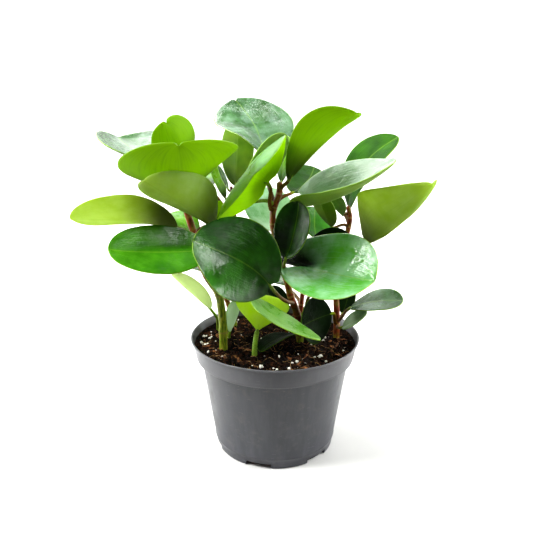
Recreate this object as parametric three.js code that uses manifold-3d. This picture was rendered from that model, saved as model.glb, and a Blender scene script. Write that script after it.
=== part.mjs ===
// Potted peperomia: a dark grey plastic nursery pot with soil, six fleshy stems and their round, glossy leaves.
// Millimetres, +Z up. The origin is the centre of the pot's underside, and the front is -Y.

import * as THREE from 'three';
import { mergeVertices } from 'three/addons/utils/BufferGeometryUtils.js';
import Module from 'manifold-3d';

const wasm = await Module();
wasm.setup();

// Nursery pot, a six inch one
const POT_HEIGHT = 105;
const RIM_RADIUS = 76;
const LIP_WIDTH = 1.9;
const LIP_HEIGHT = 1.6;
const BAND_HEIGHT = 18.3;
const BAND_TOP_RADIUS = 74.6;
const BAND_BOTTOM_RADIUS = 71.4;
const BODY_TOP_RADIUS = 67.6;
const BASE_RADIUS = 54;
const BASE_ROUND = 0.8;
const POT_WALL = 1.3;
const POT_FLOOR = 1.6;
const POT_SIDES = 60;
const NOTCH_COUNT = 6;
const NOTCH_WIDTH = 23;
const NOTCH_HEIGHT = 4.8;
const NOTCH_DEPTH = 14;
const FIRST_NOTCH = THREE.MathUtils.degToRad(-106);

// Soil
const SOIL_LEVEL = 98;
const SOIL_RELIEF = 1.4;
const SOIL_RINGS = 6;
const SOIL_SIDES = 36;
const CLEARANCE = 0.35;

// Stems and petioles
const STEM_SIDES = 8;
const STEM_STEP = 9;
const STEM_DEPTH = 24;
const BUD_SHARE = 0.7;
const PETIOLE_ROOT_RADIUS = 1.7;
const PETIOLE_TIP_RADIUS = 1.3;
const PETIOLE_SIDES = 8;
const PETIOLE_STEPS = 4;
const PETIOLE_SWING = 0.4;
const PETIOLE_DEPTH = 12;
const HOLE_RISE = 4;

// Blades
const BLADE_STATIONS = [0.03, 0.12, 0.27, 0.44, 0.61, 0.77, 0.89, 0.965, 0.997];
const ACROSS = [-1, -0.5, 0, 0.5, 1];
const BLADE_THICKNESS = 1.5;
const MIDRIB_THICKNESS = 1.9;
const BASE_TAPER = 0.6;
const TIP_ROUNDNESS = 0.5;
const LOBE_OPENING = 0.07;
const FULL_LOBE = 6;
const VALLEY_ROUND = 0.1;
const SAMPLE = 0.02;

const GREEN = { dark: 0x1f5a1c, fresh: 0x6fae1a, pale: 0x8fb08a, deep: 0x16351a };

// Each stem is a list of points from the soil up, and its radius at the soil and at its tip.
const STEMS = {
  left: {
    points: [[-46, -13, 98], [-46, -14, 120], [-47, -16, 136], [-49, -18, 150], [-56, -19, 162], [-64, -18, 178],
      [-68, -16, 200], [-74, -14, 221], [-78, -12, 240]],
    radius: [3.4, 2.2],
  },
  middle: {
    points: [[23, 2, 98], [20, 0, 124], [14, -3, 142], [9, -6, 162], [2, -9, 190], [-2, -10, 208], [-2, -10, 221],
      [3, -10, 236], [3, -10, 246]],
    radius: [3.0, 1.9],
  },
  right: {
    points: [[57, 11, 98], [57, 12, 118], [56, 14, 140], [59, 17, 170], [65, 20, 195], [67, 22, 207], [65, 23, 219]],
    radius: [2.9, 1.7],
  },
  back_left: {
    points: [[-15, 32, 98], [-18, 33, 125], [-28, 34, 160], [-36, 35, 195], [-38, 36, 225], [-40, 37, 234]],
    radius: [2.8, 1.5],
  },
  back_right: {
    points: [[24, 42, 98], [26, 43, 120], [30, 42, 150], [34, 38, 176]],
    radius: [2.7, 1.7],
  },
  far_back: {
    points: [[-39, 41, 98], [-45, 42, 120], [-57, 42, 150], [-66, 36, 180]],
    radius: [2.7, 1.7],
  },
};

// Each leaf: the stem and height its petiole leaves from (or the place in the soil), the blade's base and tip, its
// width, its roll round the midrib in degrees, the bow of its midrib, the curl of its sides, and where it has them a
// twist along the blade, a fold that opens towards the tip, ears behind the base, a longer ear on one side, a sideways
// sweep, a notched tip and a base that tapers otherwise than most.
const LEAVES = [
  { name: 'far_left', stem: 'left', root: 237, base: [-80, 8, 258], tip: [-143, 54, 276], width: 87, roll: 5,
    cup: 0.28, twist: -19, sweep: -6, tone: 'pale' },
  { name: 'top_left_small', stem: 'left', root: 233, base: [-83, -8, 259], tip: [-85, -36, 297], width: 39,
    roll: -38, arch: -4, cup: 0.39, twist: -25, fold: -9, sweep: -4.5, notch: 3, tone: 'fresh' },
  { name: 'near_left_top', stem: 'left', root: 226, base: [-71, -36, 243], tip: [-67, -102, 287], width: 89,
    roll: -11, arch: -6.5, cup: 0.19, twist: 11, fold: 21, sweep: 2, notch: 4, tone: 'fresh' },
  { name: 'near_left_mid', stem: 'left', root: 200, base: [-53, -38, 215], tip: [-93, -96, 261], width: 43,
    roll: -34, arch: -6.5, cup: 0.38, twist: -8, fold: 49, sweep: -8, lobe: 4, tone: 'fresh' },
  { name: 'left_low_lime', stem: 'left', root: 193, base: [-82, -16, 208], tip: [-169, -24, 218], width: 61,
    roll: -36, arch: 4.5, cup: 0.05, fold: 28, tone: 'fresh' },
  { name: 'left_dark', stem: 'left', root: 178, base: [-58, -35, 194], tip: [-131, -58, 201], width: 56, roll: 31,
    twist: -10, fold: 4, lobe: 3, tone: 'dark' },
  { name: 'front_round', stem: 'middle', root: 143, base: [-5, -43, 166], tip: [-63, -70, 211], width: 64,
    roll: 87, arch: 5.5, cup: 0.12, twist: -57, fold: 8, sweep: 5, lobe: 2.5, tone: 'dark' },
  { name: 'front_small_dark', stem: 'middle', root: 166, base: [8, -37, 187], tip: [18, -29, 233], width: 33,
    roll: -17, cup: 0.04, twist: -4, fold: 7, tone: 'deep' },
  { name: 'right_glossy', stem: 'middle', root: 160, base: [25, -33, 180], tip: [74, -79, 182], width: 70,
    roll: -30, arch: 6, cup: 0.18, twist: -13, fold: 11, sweep: 5, lobe: 16, longEar: 1.8, tone: 'dark' },
  { name: 'right_pale', stem: 'middle', root: 210, base: [27, -14, 227], tip: [87, -60, 268], width: 72,
    roll: -17, arch: -3, cup: 0.04, twist: 11, fold: 52, sweep: 4, lobe: 8, tone: 'pale' },
  { name: 'top_lime', stem: 'middle', root: 241, base: [11, -16, 249], tip: [59, -51, 304], width: 60, roll: 0,
    arch: 8.5, cup: 0.31, twist: 35, fold: -28, tone: 'fresh' },
  { name: 'top_blue', stem: 'middle', root: 227, base: [-11, 16, 264], tip: [-37, 74, 309], width: 72, roll: -1,
    arch: -2, cup: -0.11, twist: 33, fold: 30, sweep: 9, notch: 3, tone: 'pale' },
  { name: 'centre_lime', stem: 'middle', root: 222, base: [-7, -16, 245], tip: [-17, -76, 261], width: 83,
    roll: -54, arch: 15, cup: -0.22, twist: 7, sweep: 3.5, lobe: 2, tone: 'fresh' },
  { name: 'centre_pale', stem: 'middle', root: 212, base: [-28, -14, 231], tip: [8, -6, 284], width: 34, roll: 55,
    cup: 0.06, twist: 12, fold: -5, tone: 'pale' },
  { name: 'narrow_top', stem: 'middle', root: 236, base: [5, 4, 243], tip: [10, 22, 280], width: 13, roll: 10,
    cup: 0.09, tone: 'fresh' },
  { name: 'right_top_back', stem: 'middle', root: 230, base: [15, 9, 233], tip: [37, 65, 247], width: 35,
    roll: -14, cup: 0.08, twist: -8, sweep: 3.5, tone: 'dark' },
  { name: 'behind_crescent', stem: 'middle', root: 182, base: [27, -14, 186], tip: [65, -14, 197], width: 37,
    roll: -30, arch: 1, cup: 0.12, tone: 'deep' },
  { name: 'right_dark', stem: 'right', root: 208, base: [68, 39, 213], tip: [106, 22, 279], width: 48, roll: -42,
    arch: 16, cup: 0.05, tone: 'dark' },
  { name: 'right_olive', stem: 'right', root: 184, base: [77, -18, 195], tip: [115, -67, 254], width: 62,
    roll: 21, arch: -8, cup: 0.4, twist: -36, fold: 61, sweep: 3.5, lobe: 2.5, tone: 'fresh' },
  { name: 'right_back_small', stem: 'right', root: 212, base: [60, 20, 211], tip: [43, 2, 236], width: 13,
    roll: -20, sweep: -3, cup: 0.09, tone: 'dark' },
  { name: 'right_back_olive', stem: 'right', root: 200, base: [50, 14, 202], tip: [34, -10, 237], width: 21,
    roll: 0, cup: 0.1, tone: 'fresh' },
  { name: 'low_right_grey', stem: 'right', root: 114, base: [68, 3, 129], tip: [110, -20, 144], width: 31,
    roll: -19, arch: 4, cup: 0.09, twist: -11, tone: 'pale' },
  { name: 'low_right_dark', stem: 'right', root: 108, base: [60, -8, 115], tip: [79, -19, 132], width: 26,
    roll: -20, cup: 0.05, twist: 10, fold: 12, tone: 'deep' },
  { name: 'low_dark_round', stem: 'right', root: 112, base: [51, 2, 124], tip: [22, -32, 125], width: 41,
    roll: 78, arch: -2, cup: 0.08, tone: 'deep' },
  { name: 'low_small_dark', stem: 'right', root: 113, base: [63, 18, 118], tip: [70, 30, 141], width: 17,
    arch: -3, cup: 0.09, tone: 'deep' },
  { name: 'low_front_green', stem: 'left', root: 149, base: [-18, -35, 152], tip: [36, -59, 125], width: 41,
    roll: 11, arch: -2, twist: 12, fold: -7, lobe: 2, tone: 'fresh' },
  { name: 'low_front_lime', soil: [-18, -28], base: [-16, -17, 114], tip: [-9, -19, 149], width: 47, roll: 70,
    cup: 0.04, taper: 1, tone: 'fresh' },
  { name: 'low_left_lime', soil: [-54, 28], base: [-59, 9, 126], tip: [-91, 1, 163], width: 31, roll: -30,
    arch: 2.5, cup: 0.12, twist: -3, fold: 3, tone: 'fresh' },
  { name: 'low_grey', soil: [-42, 8], base: [-41, 4, 106], tip: [-35, 3, 138], width: 24, roll: 15, cup: 0.1,
    twist: 17, fold: -9, tone: 'pale' },
  { name: 'low_shadow_left', soil: [11, 13], base: [9, 15, 112], tip: [-9, 9, 145], width: 31, roll: 51,
    arch: 1, cup: 0.16, twist: 8, fold: 13, tone: 'deep' },
  { name: 'low_shadow_front', stem: 'middle', root: 105, base: [17, -8, 108], tip: [-13, -34, 103], width: 25,
    roll: -10, arch: 4, cup: 0.15, tone: 'deep' },
  { name: 'left_stub', stem: 'left', root: 203, base: [-51, -5, 211], tip: [-47, -12, 230], width: 9, arch: -3,
    cup: 0.09, tone: 'fresh' },
  { name: 'top_lime_behind', stem: 'back_left', root: 225, base: [-36, 48, 232], tip: [-34, 88, 292], width: 31,
    roll: 180, cup: 0.06, tone: 'fresh' },
  { name: 'back_left_blue', stem: 'back_left', root: 212, base: [-45, 36, 223], tip: [-58, 40, 256], width: 13,
    roll: 21, cup: 0.16, tone: 'fresh' },
  { name: 'back_left_narrow', stem: 'back_left', root: 229, base: [-42, 31, 232], tip: [-51, 38, 252], width: 7,
    cup: 0.09, tone: 'pale' },
  { name: 'left_behind_lime', stem: 'far_back', root: 178, base: [-72, 30, 190], tip: [-101, 61, 203], width: 28,
    roll: 5, arch: 3, cup: 0.22, twist: 10, tone: 'fresh' },
  { name: 'centre_back_blue', stem: 'back_right', root: 172, base: [2, 40, 191], tip: [-12, 85, 224], width: 47,
    roll: 5, arch: -2, cup: 0.1, tone: 'pale' },
  { name: 'right_of_centre_back', stem: 'back_right', root: 174, base: [38, 28, 187], tip: [39, 66, 208],
    width: 34, roll: -24, arch: -2, tone: 'dark' },
  { name: 'behind_glossy', stem: 'middle', root: 110, base: [33, -6, 146], tip: [68, -19, 162], width: 40,
    roll: 6, arch: 3, cup: 0.1, tone: 'dark' },
  { name: 'rear_low_left', stem: 'far_back', root: 138, base: [-66, 64, 146], tip: [-96, 116, 150], width: 58,
    roll: 8, arch: 6, cup: 0.12, fold: 10, lobe: 4, tone: 'dark' },
  { name: 'rear_left', stem: 'far_back', root: 160, base: [-78, 52, 176], tip: [-134, 76, 172], width: 50,
    roll: 4, arch: 6, cup: 0.1, fold: 8, tone: 'dark' },
  { name: 'rear_middle', stem: 'back_left', root: 152, base: [-34, 64, 166], tip: [-42, 124, 166], width: 60,
    roll: -6, arch: 7, cup: 0.14, fold: 10, lobe: 3, tone: 'dark' },
  { name: 'rear_low_middle', stem: 'back_right', root: 118, base: [12, 70, 128], tip: [-4, 118, 126], width: 50,
    roll: 5, arch: 5, cup: 0.1, fold: 8, tone: 'dark' },
  { name: 'rear_low_right', stem: 'back_right', root: 138, base: [50, 66, 144], tip: [86, 110, 148], width: 58,
    roll: -8, arch: 6, cup: 0.12, fold: 12, lobe: 4, tone: 'dark' },
  { name: 'rear_right', stem: 'back_right', root: 158, base: [30, 66, 164], tip: [24, 122, 160], width: 54,
    roll: 4, arch: 6, cup: 0.1, fold: 10, tone: 'dark' },
  { name: 'rear_high_left', stem: 'back_left', root: 203, base: [-62, 62, 228], tip: [-88, 110, 232], width: 48,
    roll: 6, arch: 4, cup: 0.12, fold: 8, tone: 'fresh' },
  { name: 'rear_high_right', stem: 'right', root: 204, base: [56, 54, 222], tip: [50, 106, 226], width: 48,
    roll: 6, arch: 4, cup: 0.12, fold: 8, tone: 'fresh' },
];

function vector(point) {
  return new THREE.Vector3(...point);
}

// Turns a closed mesh into a solid that can be joined and cut.
function toSolid(geometry) {
  const bare = geometry.clone();
  bare.deleteAttribute('normal');
  bare.deleteAttribute('uv');
  const merged = mergeVertices(bare, 1e-4);
  return new wasm.Manifold(new wasm.Mesh({
    numProp: 3,
    vertProperties: new Float32Array(merged.attributes.position.array),
    triVerts: new Uint32Array(merged.index.array),
  }));
}

function fromSolid(solid) {
  const mesh = solid.getMesh();
  const geometry = new THREE.BufferGeometry();
  geometry.setAttribute('position', new THREE.BufferAttribute(new Float32Array(mesh.vertProperties), 3));
  geometry.setIndex(new THREE.BufferAttribute(new Uint32Array(mesh.triVerts), 1));
  geometry.computeVertexNormals();
  return geometry;
}

// Skins a row of closed rings of equal count, with both ends closed by a fan.
function skinRings(rings) {
  const count = rings[0].length;
  const positions = rings.flat().flatMap((p) => [p.x, p.y, p.z]);
  const index = [];
  for (let r = 0; r + 1 < rings.length; r += 1) {
    for (let i = 0; i < count; i += 1) {
      const here = r * count + i;
      const next = r * count + ((i + 1) % count);
      // The diagonal is mirrored between the upper and the lower face, so both faces break along the same lines.
      if (i < count / 2) {
        index.push(here, next, here + count, next, next + count, here + count);
      } else {
        index.push(here, next, next + count, here, next + count, here + count);
      }
    }
  }
  const last = (rings.length - 1) * count;
  for (let i = 1; i + 1 < count; i += 1) {
    index.push(0, i + 1, i);
    index.push(last, last + i, last + i + 1);
  }
  const geometry = new THREE.BufferGeometry();
  geometry.setAttribute('position', new THREE.Float32BufferAttribute(positions, 3));
  geometry.setIndex(index);
  geometry.computeVertexNormals();
  return geometry;
}

function potGeometry() {
  const bandBottom = POT_HEIGHT - BAND_HEIGHT;
  const outline = [
    [0, 0], [BASE_RADIUS - BASE_ROUND, 0], [BASE_RADIUS, BASE_ROUND],
    [BODY_TOP_RADIUS, bandBottom], [BAND_BOTTOM_RADIUS, bandBottom + 0.6],
    [BAND_TOP_RADIUS, POT_HEIGHT - LIP_HEIGHT], [RIM_RADIUS, POT_HEIGHT - LIP_HEIGHT + 0.4], [RIM_RADIUS, POT_HEIGHT],
    [RIM_RADIUS - LIP_WIDTH, POT_HEIGHT], [BAND_BOTTOM_RADIUS - POT_WALL, bandBottom + POT_WALL],
    [BODY_TOP_RADIUS - POT_WALL, bandBottom - POT_WALL], [BASE_RADIUS - POT_WALL, POT_FLOOR], [0, POT_FLOOR],
  ].map(([r, z]) => new THREE.Vector2(r, z));
  const shell = new THREE.LatheGeometry(outline, POT_SIDES);
  shell.rotateX(Math.PI / 2);
  let solid = toSolid(shell);
  for (let i = 0; i < NOTCH_COUNT; i += 1) {
    const notch = new THREE.BoxGeometry(NOTCH_DEPTH, NOTCH_WIDTH, NOTCH_HEIGHT + 2);
    notch.translate(BASE_RADIUS, 0, NOTCH_HEIGHT / 2 - 1);
    notch.rotateZ(FIRST_NOTCH + (i * 2 * Math.PI) / NOTCH_COUNT);
    solid = solid.subtract(toSolid(notch));
  }
  return fromSolid(solid);
}

// Low waves on the soil that fade out at the pot's wall.
function soilRelief(x, y, edge) {
  const waves = Math.sin(x * 0.13 + 1.1) * Math.cos(y * 0.17 - 0.4) + 0.6 * Math.sin(x * 0.31 - y * 0.23);
  return SOIL_RELIEF * waves * (1 - edge ** 4);
}

// The radius of the pot's inside at a height above its floor.
function insideRadius(z) {
  const bandBottom = POT_HEIGHT - BAND_HEIGHT;
  const low = (z - POT_FLOOR) / (bandBottom - POT_WALL - POT_FLOOR);
  const high = (z - bandBottom - POT_WALL) / (BAND_HEIGHT - POT_WALL);
  const body = BASE_RADIUS - POT_WALL + low * (BODY_TOP_RADIUS - BASE_RADIUS);
  const band = BAND_BOTTOM_RADIUS - POT_WALL + high * (RIM_RADIUS - LIP_WIDTH - BAND_BOTTOM_RADIUS + POT_WALL);
  return z < bandBottom ? body : band;
}

function soilGeometry(holes) {
  const bandBottom = POT_HEIGHT - BAND_HEIGHT;
  const floor = POT_FLOOR + CLEARANCE;
  const off = CLEARANCE + 0.25;
  const edge = insideRadius(SOIL_LEVEL) - off;
  const outline = [
    [0, floor], [insideRadius(floor) - off, floor],
    [BODY_TOP_RADIUS - POT_WALL - off, bandBottom - POT_WALL + CLEARANCE],
    [BAND_BOTTOM_RADIUS - POT_WALL - off, bandBottom + POT_WALL + CLEARANCE],
  ];
  for (let i = 0; i <= SOIL_RINGS; i += 1) {
    outline.push([edge * (1 - i / SOIL_RINGS), SOIL_LEVEL]);
  }
  const body = new THREE.LatheGeometry(outline.map(([r, z]) => new THREE.Vector2(r, z)), SOIL_SIDES);
  body.rotateX(Math.PI / 2);
  const place = body.attributes.position;
  for (let i = 0; i < place.count; i += 1) {
    const x = place.getX(i);
    const y = place.getY(i);
    if (Math.abs(place.getZ(i) - SOIL_LEVEL) < 1e-3) {
      place.setZ(i, SOIL_LEVEL + soilRelief(x, y, Math.hypot(x, y) / edge));
    }
  }
  let solid = toSolid(body);
  for (const hole of holes) {
    solid = solid.subtract(hole);
  }
  return fromSolid(solid);
}

// A round tube along a curve. Its radius is a function of the place along it, from 0 to 1.
function tube(curve, steps, radiusAt) {
  const frames = curve.computeFrenetFrames(steps, false);
  const rings = [];
  for (let k = 0; k <= steps; k += 1) {
    const centre = curve.getPointAt(k / steps);
    const radius = radiusAt(k / steps);
    const ring = [];
    for (let i = 0; i < STEM_SIDES; i += 1) {
      const angle = (i * 2 * Math.PI) / STEM_SIDES;
      ring.push(centre.clone()
        .addScaledVector(frames.normals[k], radius * Math.cos(angle))
        .addScaledVector(frames.binormals[k], radius * Math.sin(angle)));
    }
    rings.push(ring);
  }
  return skinRings(rings);
}

// A stem's curve, from its foot below the soil up to its tip.
function stemCurve(stem, depth) {
  const [x, y, z] = stem.points[0];
  return new THREE.CatmullRomCurve3([vector([x, y, z - depth]), ...stem.points.map(vector)], false, 'centripetal');
}

function stemRadius(stem, point) {
  const low = stem.points[0][2];
  const high = stem.points[stem.points.length - 1][2];
  const rise = THREE.MathUtils.clamp((point.z - low) / (high - low), 0, 1);
  return THREE.MathUtils.lerp(stem.radius[0], stem.radius[1], rise);
}

// A stem drawn in to a blunt bud at its tip.
function stemGeometry(stem) {
  const curve = stemCurve(stem, STEM_DEPTH);
  const steps = Math.round(curve.getLength() / STEM_STEP);
  return tube(curve, steps, (u) => stemRadius(stem, curve.getPointAt(u)) * (u === 1 ? BUD_SHARE : 1));
}

// What is cut from the soil for a stem: the same shape, a little wider and deeper.
function stemHole(stem) {
  const curve = stemCurve(stem, STEM_DEPTH + CLEARANCE);
  const steps = Math.round(curve.getLength() / STEM_STEP);
  return toSolid(tube(curve, steps, (u) => stemRadius(stem, curve.getPointAt(u)) + CLEARANCE));
}

// A plain round hole for a petiole that comes straight out of the soil.
function petioleHole([x, y]) {
  const radius = PETIOLE_ROOT_RADIUS + CLEARANCE;
  const height = PETIOLE_DEPTH + CLEARANCE + HOLE_RISE;
  const hole = new THREE.CylinderGeometry(radius, radius, height, PETIOLE_SIDES);
  hole.rotateX(Math.PI / 2);
  hole.translate(x, y, SOIL_LEVEL + HOLE_RISE - height / 2);
  return toSolid(hole);
}

// The place on a stem's curve at a given height.
function placeAtHeight(curve, z) {
  let low = 0;
  let high = 1;
  for (let i = 0; i < 30; i += 1) {
    const middle = (low + high) / 2;
    if (curve.getPointAt(middle).z < z) {
      low = middle;
    } else {
      high = middle;
    }
  }
  return low;
}

// The blade's own directions: along the chord, to its right side, and up out of its upper face.
function bladeAxes(leaf) {
  const base = vector(leaf.base);
  const chord = vector(leaf.tip).sub(base);
  const along = chord.clone().normalize();
  const level = new THREE.Vector3(along.y, -along.x, 0).normalize();
  const normal = level.clone().cross(along);
  const roll = THREE.MathUtils.degToRad(leaf.roll ?? 0);
  const side = level.clone().multiplyScalar(Math.cos(roll)).addScaledVector(normal, Math.sin(roll));
  const up = normal.clone().multiplyScalar(Math.cos(roll)).addScaledVector(level, -Math.sin(roll));
  return { base, along, side, up, length: chord.length() };
}

// Half the blade's width, as a share of its widest, at a place from base (0) to tip (1).
function widthShare(leaf, s) {
  const opening = LOBE_OPENING * Math.min((leaf.lobe ?? 0) / FULL_LOBE, 1);
  const q = s + opening * (1 - s);
  const taper = leaf.taper ?? BASE_TAPER;
  const shape = (x) => x ** taper * Math.max(1 - x, 0) ** TIP_ROUNDNESS;
  return shape(q) / shape(taper / (taper + TIP_ROUNDNESS));
}

// A point of the blade's middle surface, s along it and t across it from -1 to 1.
function bladePoint(leaf, axes, s, t) {
  const twist = THREE.MathUtils.degToRad(leaf.twist ?? 0) * (s - 0.4);
  const side = axes.side.clone().multiplyScalar(Math.cos(twist)).addScaledVector(axes.up, Math.sin(twist));
  const up = axes.up.clone().multiplyScalar(Math.cos(twist)).addScaledVector(axes.side, -Math.sin(twist));
  const half = (leaf.width / 2) * widthShare(leaf, s);
  const fold = THREE.MathUtils.degToRad(leaf.fold ?? 0) * Math.max(1 - s, 0) ** 1.2;
  const spread = Math.hypot(t, VALLEY_ROUND) - VALLEY_ROUND;
  const bow = 4 * s * (1 - s);
  const reach = 1 + (leaf.longEar ?? 0) * Math.max(-t, 0);
  const ear = (leaf.lobe ?? 0) * reach * Math.abs(t) ** 1.6 * (1 - s) ** 3;
  const notch = (leaf.notch ?? 0) * (1 - Math.abs(t)) ** 2 * s ** 12;
  return axes.base.clone()
    .addScaledVector(axes.along, s * axes.length - ear - notch)
    .addScaledVector(axes.up, (leaf.arch ?? 0) * bow)
    .addScaledVector(axes.side, (leaf.sweep ?? 0) * bow)
    .addScaledVector(side, half * t * Math.cos(fold))
    .addScaledVector(up, half * (spread * Math.sin(fold) + (leaf.cup ?? 0) * t * t));
}

function bladeNormal(leaf, axes, s, t) {
  const along = bladePoint(leaf, axes, s + SAMPLE, t).sub(bladePoint(leaf, axes, s - SAMPLE, t));
  const across = bladePoint(leaf, axes, s, t + SAMPLE).sub(bladePoint(leaf, axes, s, t - SAMPLE));
  return across.cross(along).normalize();
}

// One ring of the blade: over the upper face from left to right, then back along the lower face.
function bladeRing(leaf, axes, s) {
  const ring = [];
  for (const t of ACROSS) {
    const rise = Math.abs(t) === 1 ? 0 : (t === 0 ? MIDRIB_THICKNESS : BLADE_THICKNESS) / 2;
    ring.push(bladePoint(leaf, axes, s, t).addScaledVector(bladeNormal(leaf, axes, s, t), rise));
  }
  for (const t of ACROSS.slice(1, -1).reverse()) {
    const drop = (t === 0 ? MIDRIB_THICKNESS : BLADE_THICKNESS) / 2;
    ring.push(bladePoint(leaf, axes, s, t).addScaledVector(bladeNormal(leaf, axes, s, t), -drop));
  }
  return ring;
}

// A round ring with the blade ring's count and order, so that the petiole runs on into the blade.
function petioleRing(centre, side, up, radius) {
  const ring = [];
  for (let i = 0; i < PETIOLE_SIDES; i += 1) {
    const angle = Math.PI - (i * 2 * Math.PI) / PETIOLE_SIDES;
    ring.push(centre.clone()
      .addScaledVector(side, radius * Math.cos(angle))
      .addScaledVector(up, radius * Math.sin(angle)));
  }
  return ring;
}

// A petiole rises straight out of its own hole in the soil and bends over to the blade.
function petioleFromSoil(leaf, end, inward) {
  const foot = new THREE.Vector3(leaf.soil[0], leaf.soil[1], SOIL_LEVEL);
  const reach = foot.distanceTo(end) * PETIOLE_SWING;
  const path = new THREE.CurvePath();
  path.add(new THREE.LineCurve3(foot.clone().setZ(SOIL_LEVEL - PETIOLE_DEPTH), foot));
  path.add(new THREE.CubicBezierCurve3(foot, foot.clone().setZ(SOIL_LEVEL + reach),
    end.clone().addScaledVector(inward, -reach), end));
  return path;
}

// A petiole starts square to its stem, just clear of it, and swings up to the blade.
function petioleFromStem(leaf, end, inward) {
  const stem = STEMS[leaf.stem];
  const curve = stemCurve(stem, STEM_DEPTH);
  const u = placeAtHeight(curve, leaf.root);
  const centre = curve.getPointAt(u);
  const tangent = curve.getTangentAt(u);
  const outward = end.clone().sub(centre);
  outward.addScaledVector(tangent, -outward.dot(tangent)).normalize();
  const facet = Math.cos(Math.PI / STEM_SIDES) * stemRadius(stem, centre);
  const root = centre.clone().addScaledVector(outward, facet + CLEARANCE);
  const reach = root.distanceTo(end) * PETIOLE_SWING;
  return new THREE.CubicBezierCurve3(root, root.clone().addScaledVector(outward, reach),
    end.clone().addScaledVector(inward, -reach), end);
}

function leafGeometry(leaf) {
  const axes = bladeAxes(leaf);
  const end = bladePoint(leaf, axes, 0, 0);
  const inward = bladePoint(leaf, axes, SAMPLE, 0).sub(end).normalize();
  const path = leaf.soil ? petioleFromSoil(leaf, end, inward) : petioleFromStem(leaf, end, inward);
  const steps = leaf.soil ? 2 * PETIOLE_STEPS : PETIOLE_STEPS;
  const rings = [];
  for (let k = 0; k <= steps; k += 1) {
    const u = k / steps;
    const tangent = path.getTangentAt(u);
    const side = axes.side.clone().addScaledVector(tangent, -axes.side.dot(tangent)).normalize();
    const up = side.clone().cross(tangent);
    const radius = THREE.MathUtils.lerp(PETIOLE_ROOT_RADIUS, PETIOLE_TIP_RADIUS, u);
    rings.push(petioleRing(path.getPointAt(u), side, up, radius));
  }
  const stations = leaf.lobe ? BLADE_STATIONS : BLADE_STATIONS.slice(1);
  for (const s of stations) {
    rings.push(bladeRing(leaf, axes, s));
  }
  return skinRings(rings);
}

const plant = new THREE.Group();
plant.name = 'potted_peperomia';

function addPart(name, geometry, color, roughness) {
  const material = new THREE.MeshStandardMaterial({ color, roughness, metalness: 0 });
  const mesh = new THREE.Mesh(geometry, material);
  mesh.name = name;
  plant.add(mesh);
}

const holes = [];
for (const [name, stem] of Object.entries(STEMS)) {
  addPart(`stem_${name}`, stemGeometry(stem), 0x6b5a2c, 0.6);
  holes.push(stemHole(stem));
}
for (const leaf of LEAVES) {
  addPart(`leaf_${leaf.name}`, leafGeometry(leaf), GREEN[leaf.tone], 0.3);
  if (leaf.soil) {
    holes.push(petioleHole(leaf.soil));
  }
}
addPart('soil', soilGeometry(holes), 0x2a1a12, 1);
addPart('pot', potGeometry(), 0x4b4b4d, 0.55);

export default plant;
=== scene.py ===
# Potted peperomia in a dark grey nursery pot: fine leaves, stems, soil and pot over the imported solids.
# Blender's units are metres. The tables are in millimetres, +Z up, with the front at -Y.

import math

import bmesh
import bpy
import numpy as np
from mathutils import Matrix, Vector, noise


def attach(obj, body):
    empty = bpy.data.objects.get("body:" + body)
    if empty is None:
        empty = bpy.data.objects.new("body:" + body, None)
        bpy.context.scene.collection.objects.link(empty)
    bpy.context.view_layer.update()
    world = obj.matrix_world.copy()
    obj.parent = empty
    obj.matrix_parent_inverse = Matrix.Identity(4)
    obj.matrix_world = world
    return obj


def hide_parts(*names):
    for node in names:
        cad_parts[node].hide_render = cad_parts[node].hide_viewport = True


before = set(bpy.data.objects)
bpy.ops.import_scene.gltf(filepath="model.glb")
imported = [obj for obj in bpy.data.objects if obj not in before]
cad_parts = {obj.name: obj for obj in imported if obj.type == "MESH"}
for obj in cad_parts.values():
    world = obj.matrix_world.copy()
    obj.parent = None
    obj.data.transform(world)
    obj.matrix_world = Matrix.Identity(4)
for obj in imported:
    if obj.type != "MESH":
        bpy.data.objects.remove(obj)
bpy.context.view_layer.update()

MM = 0.001

# Camera, read off the photograph: a 36 mm wide sensor, a square picture and no shift
SENSOR = 36.0
LENS = 43.23
EYE = (-7.66, -538.39, 333.04)
PITCH = 16.947

# Studio, with the brightness of the room's walls and ceiling and of the backdrop that the camera sees
FLOOR_HALF = 40000.0
TABLE_GLOW = 0.45
GLOW_STARTS = 180.0
GLOW_FULL = 700.0
CARD_EDGE = -150.0
CARD_LIFT = 1.0
FRONT_WALL = 0.1
BACK_WALL = 0.4
CEILING = 0.4
BACKDROP = 1.3
LOOK = "Medium High Contrast"
EXPOSURE = 1.3

# Nursery pot: radius and height of its outline, up the outside and down the inside, then of the inner wall
POT_OUTLINE = [
    (0, 0.5), (44, 0.5), (46, 0.0), (52.6, 0.0), (53.6, 0.35), (54.0, 1.2), (54.6, 5.2), (55.2, 9.0),
    (55.75, 9.5), (55.9, 10.2), (55.6, 11.0), (60.0, 40.0), (66.6, 83.8), (67.2, 85.2), (68.4, 86.1),
    (70.3, 86.5), (71.2, 87.0), (71.5, 88.2), (72.3, 91.5), (74.3, 102.6), (74.5, 103.3), (75.4, 103.5),
    (75.9, 103.9), (76.0, 104.4), (75.7, 104.9), (75.1, 105.0), (74.4, 104.8), (74.1, 104.2), (73.0, 97.5),
    (70.1, 88.2), (66.3, 85.4), (65.4, 83.8), (58.7, 40.0), (52.9, 2.4), (51.6, 1.6), (0, 1.6),
]
POT_INSIDE = [(52.9, 2.4), (65.4, 83.8), (66.3, 85.4), (70.1, 88.2), (73.0, 97.5), (74.1, 104.2)]
POT_SIDES = 216
BAND_FOOT = 84.0
BAND_TOP = 90.0
NOTCH_COUNT = 6
NOTCH_WIDTH = 23.0
NOTCH_HEIGHT = 4.8
NOTCH_DEPTH = 14.0
NOTCH_RADIUS = 54.0
NOTCH_OVERCUT = 4.0
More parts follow.
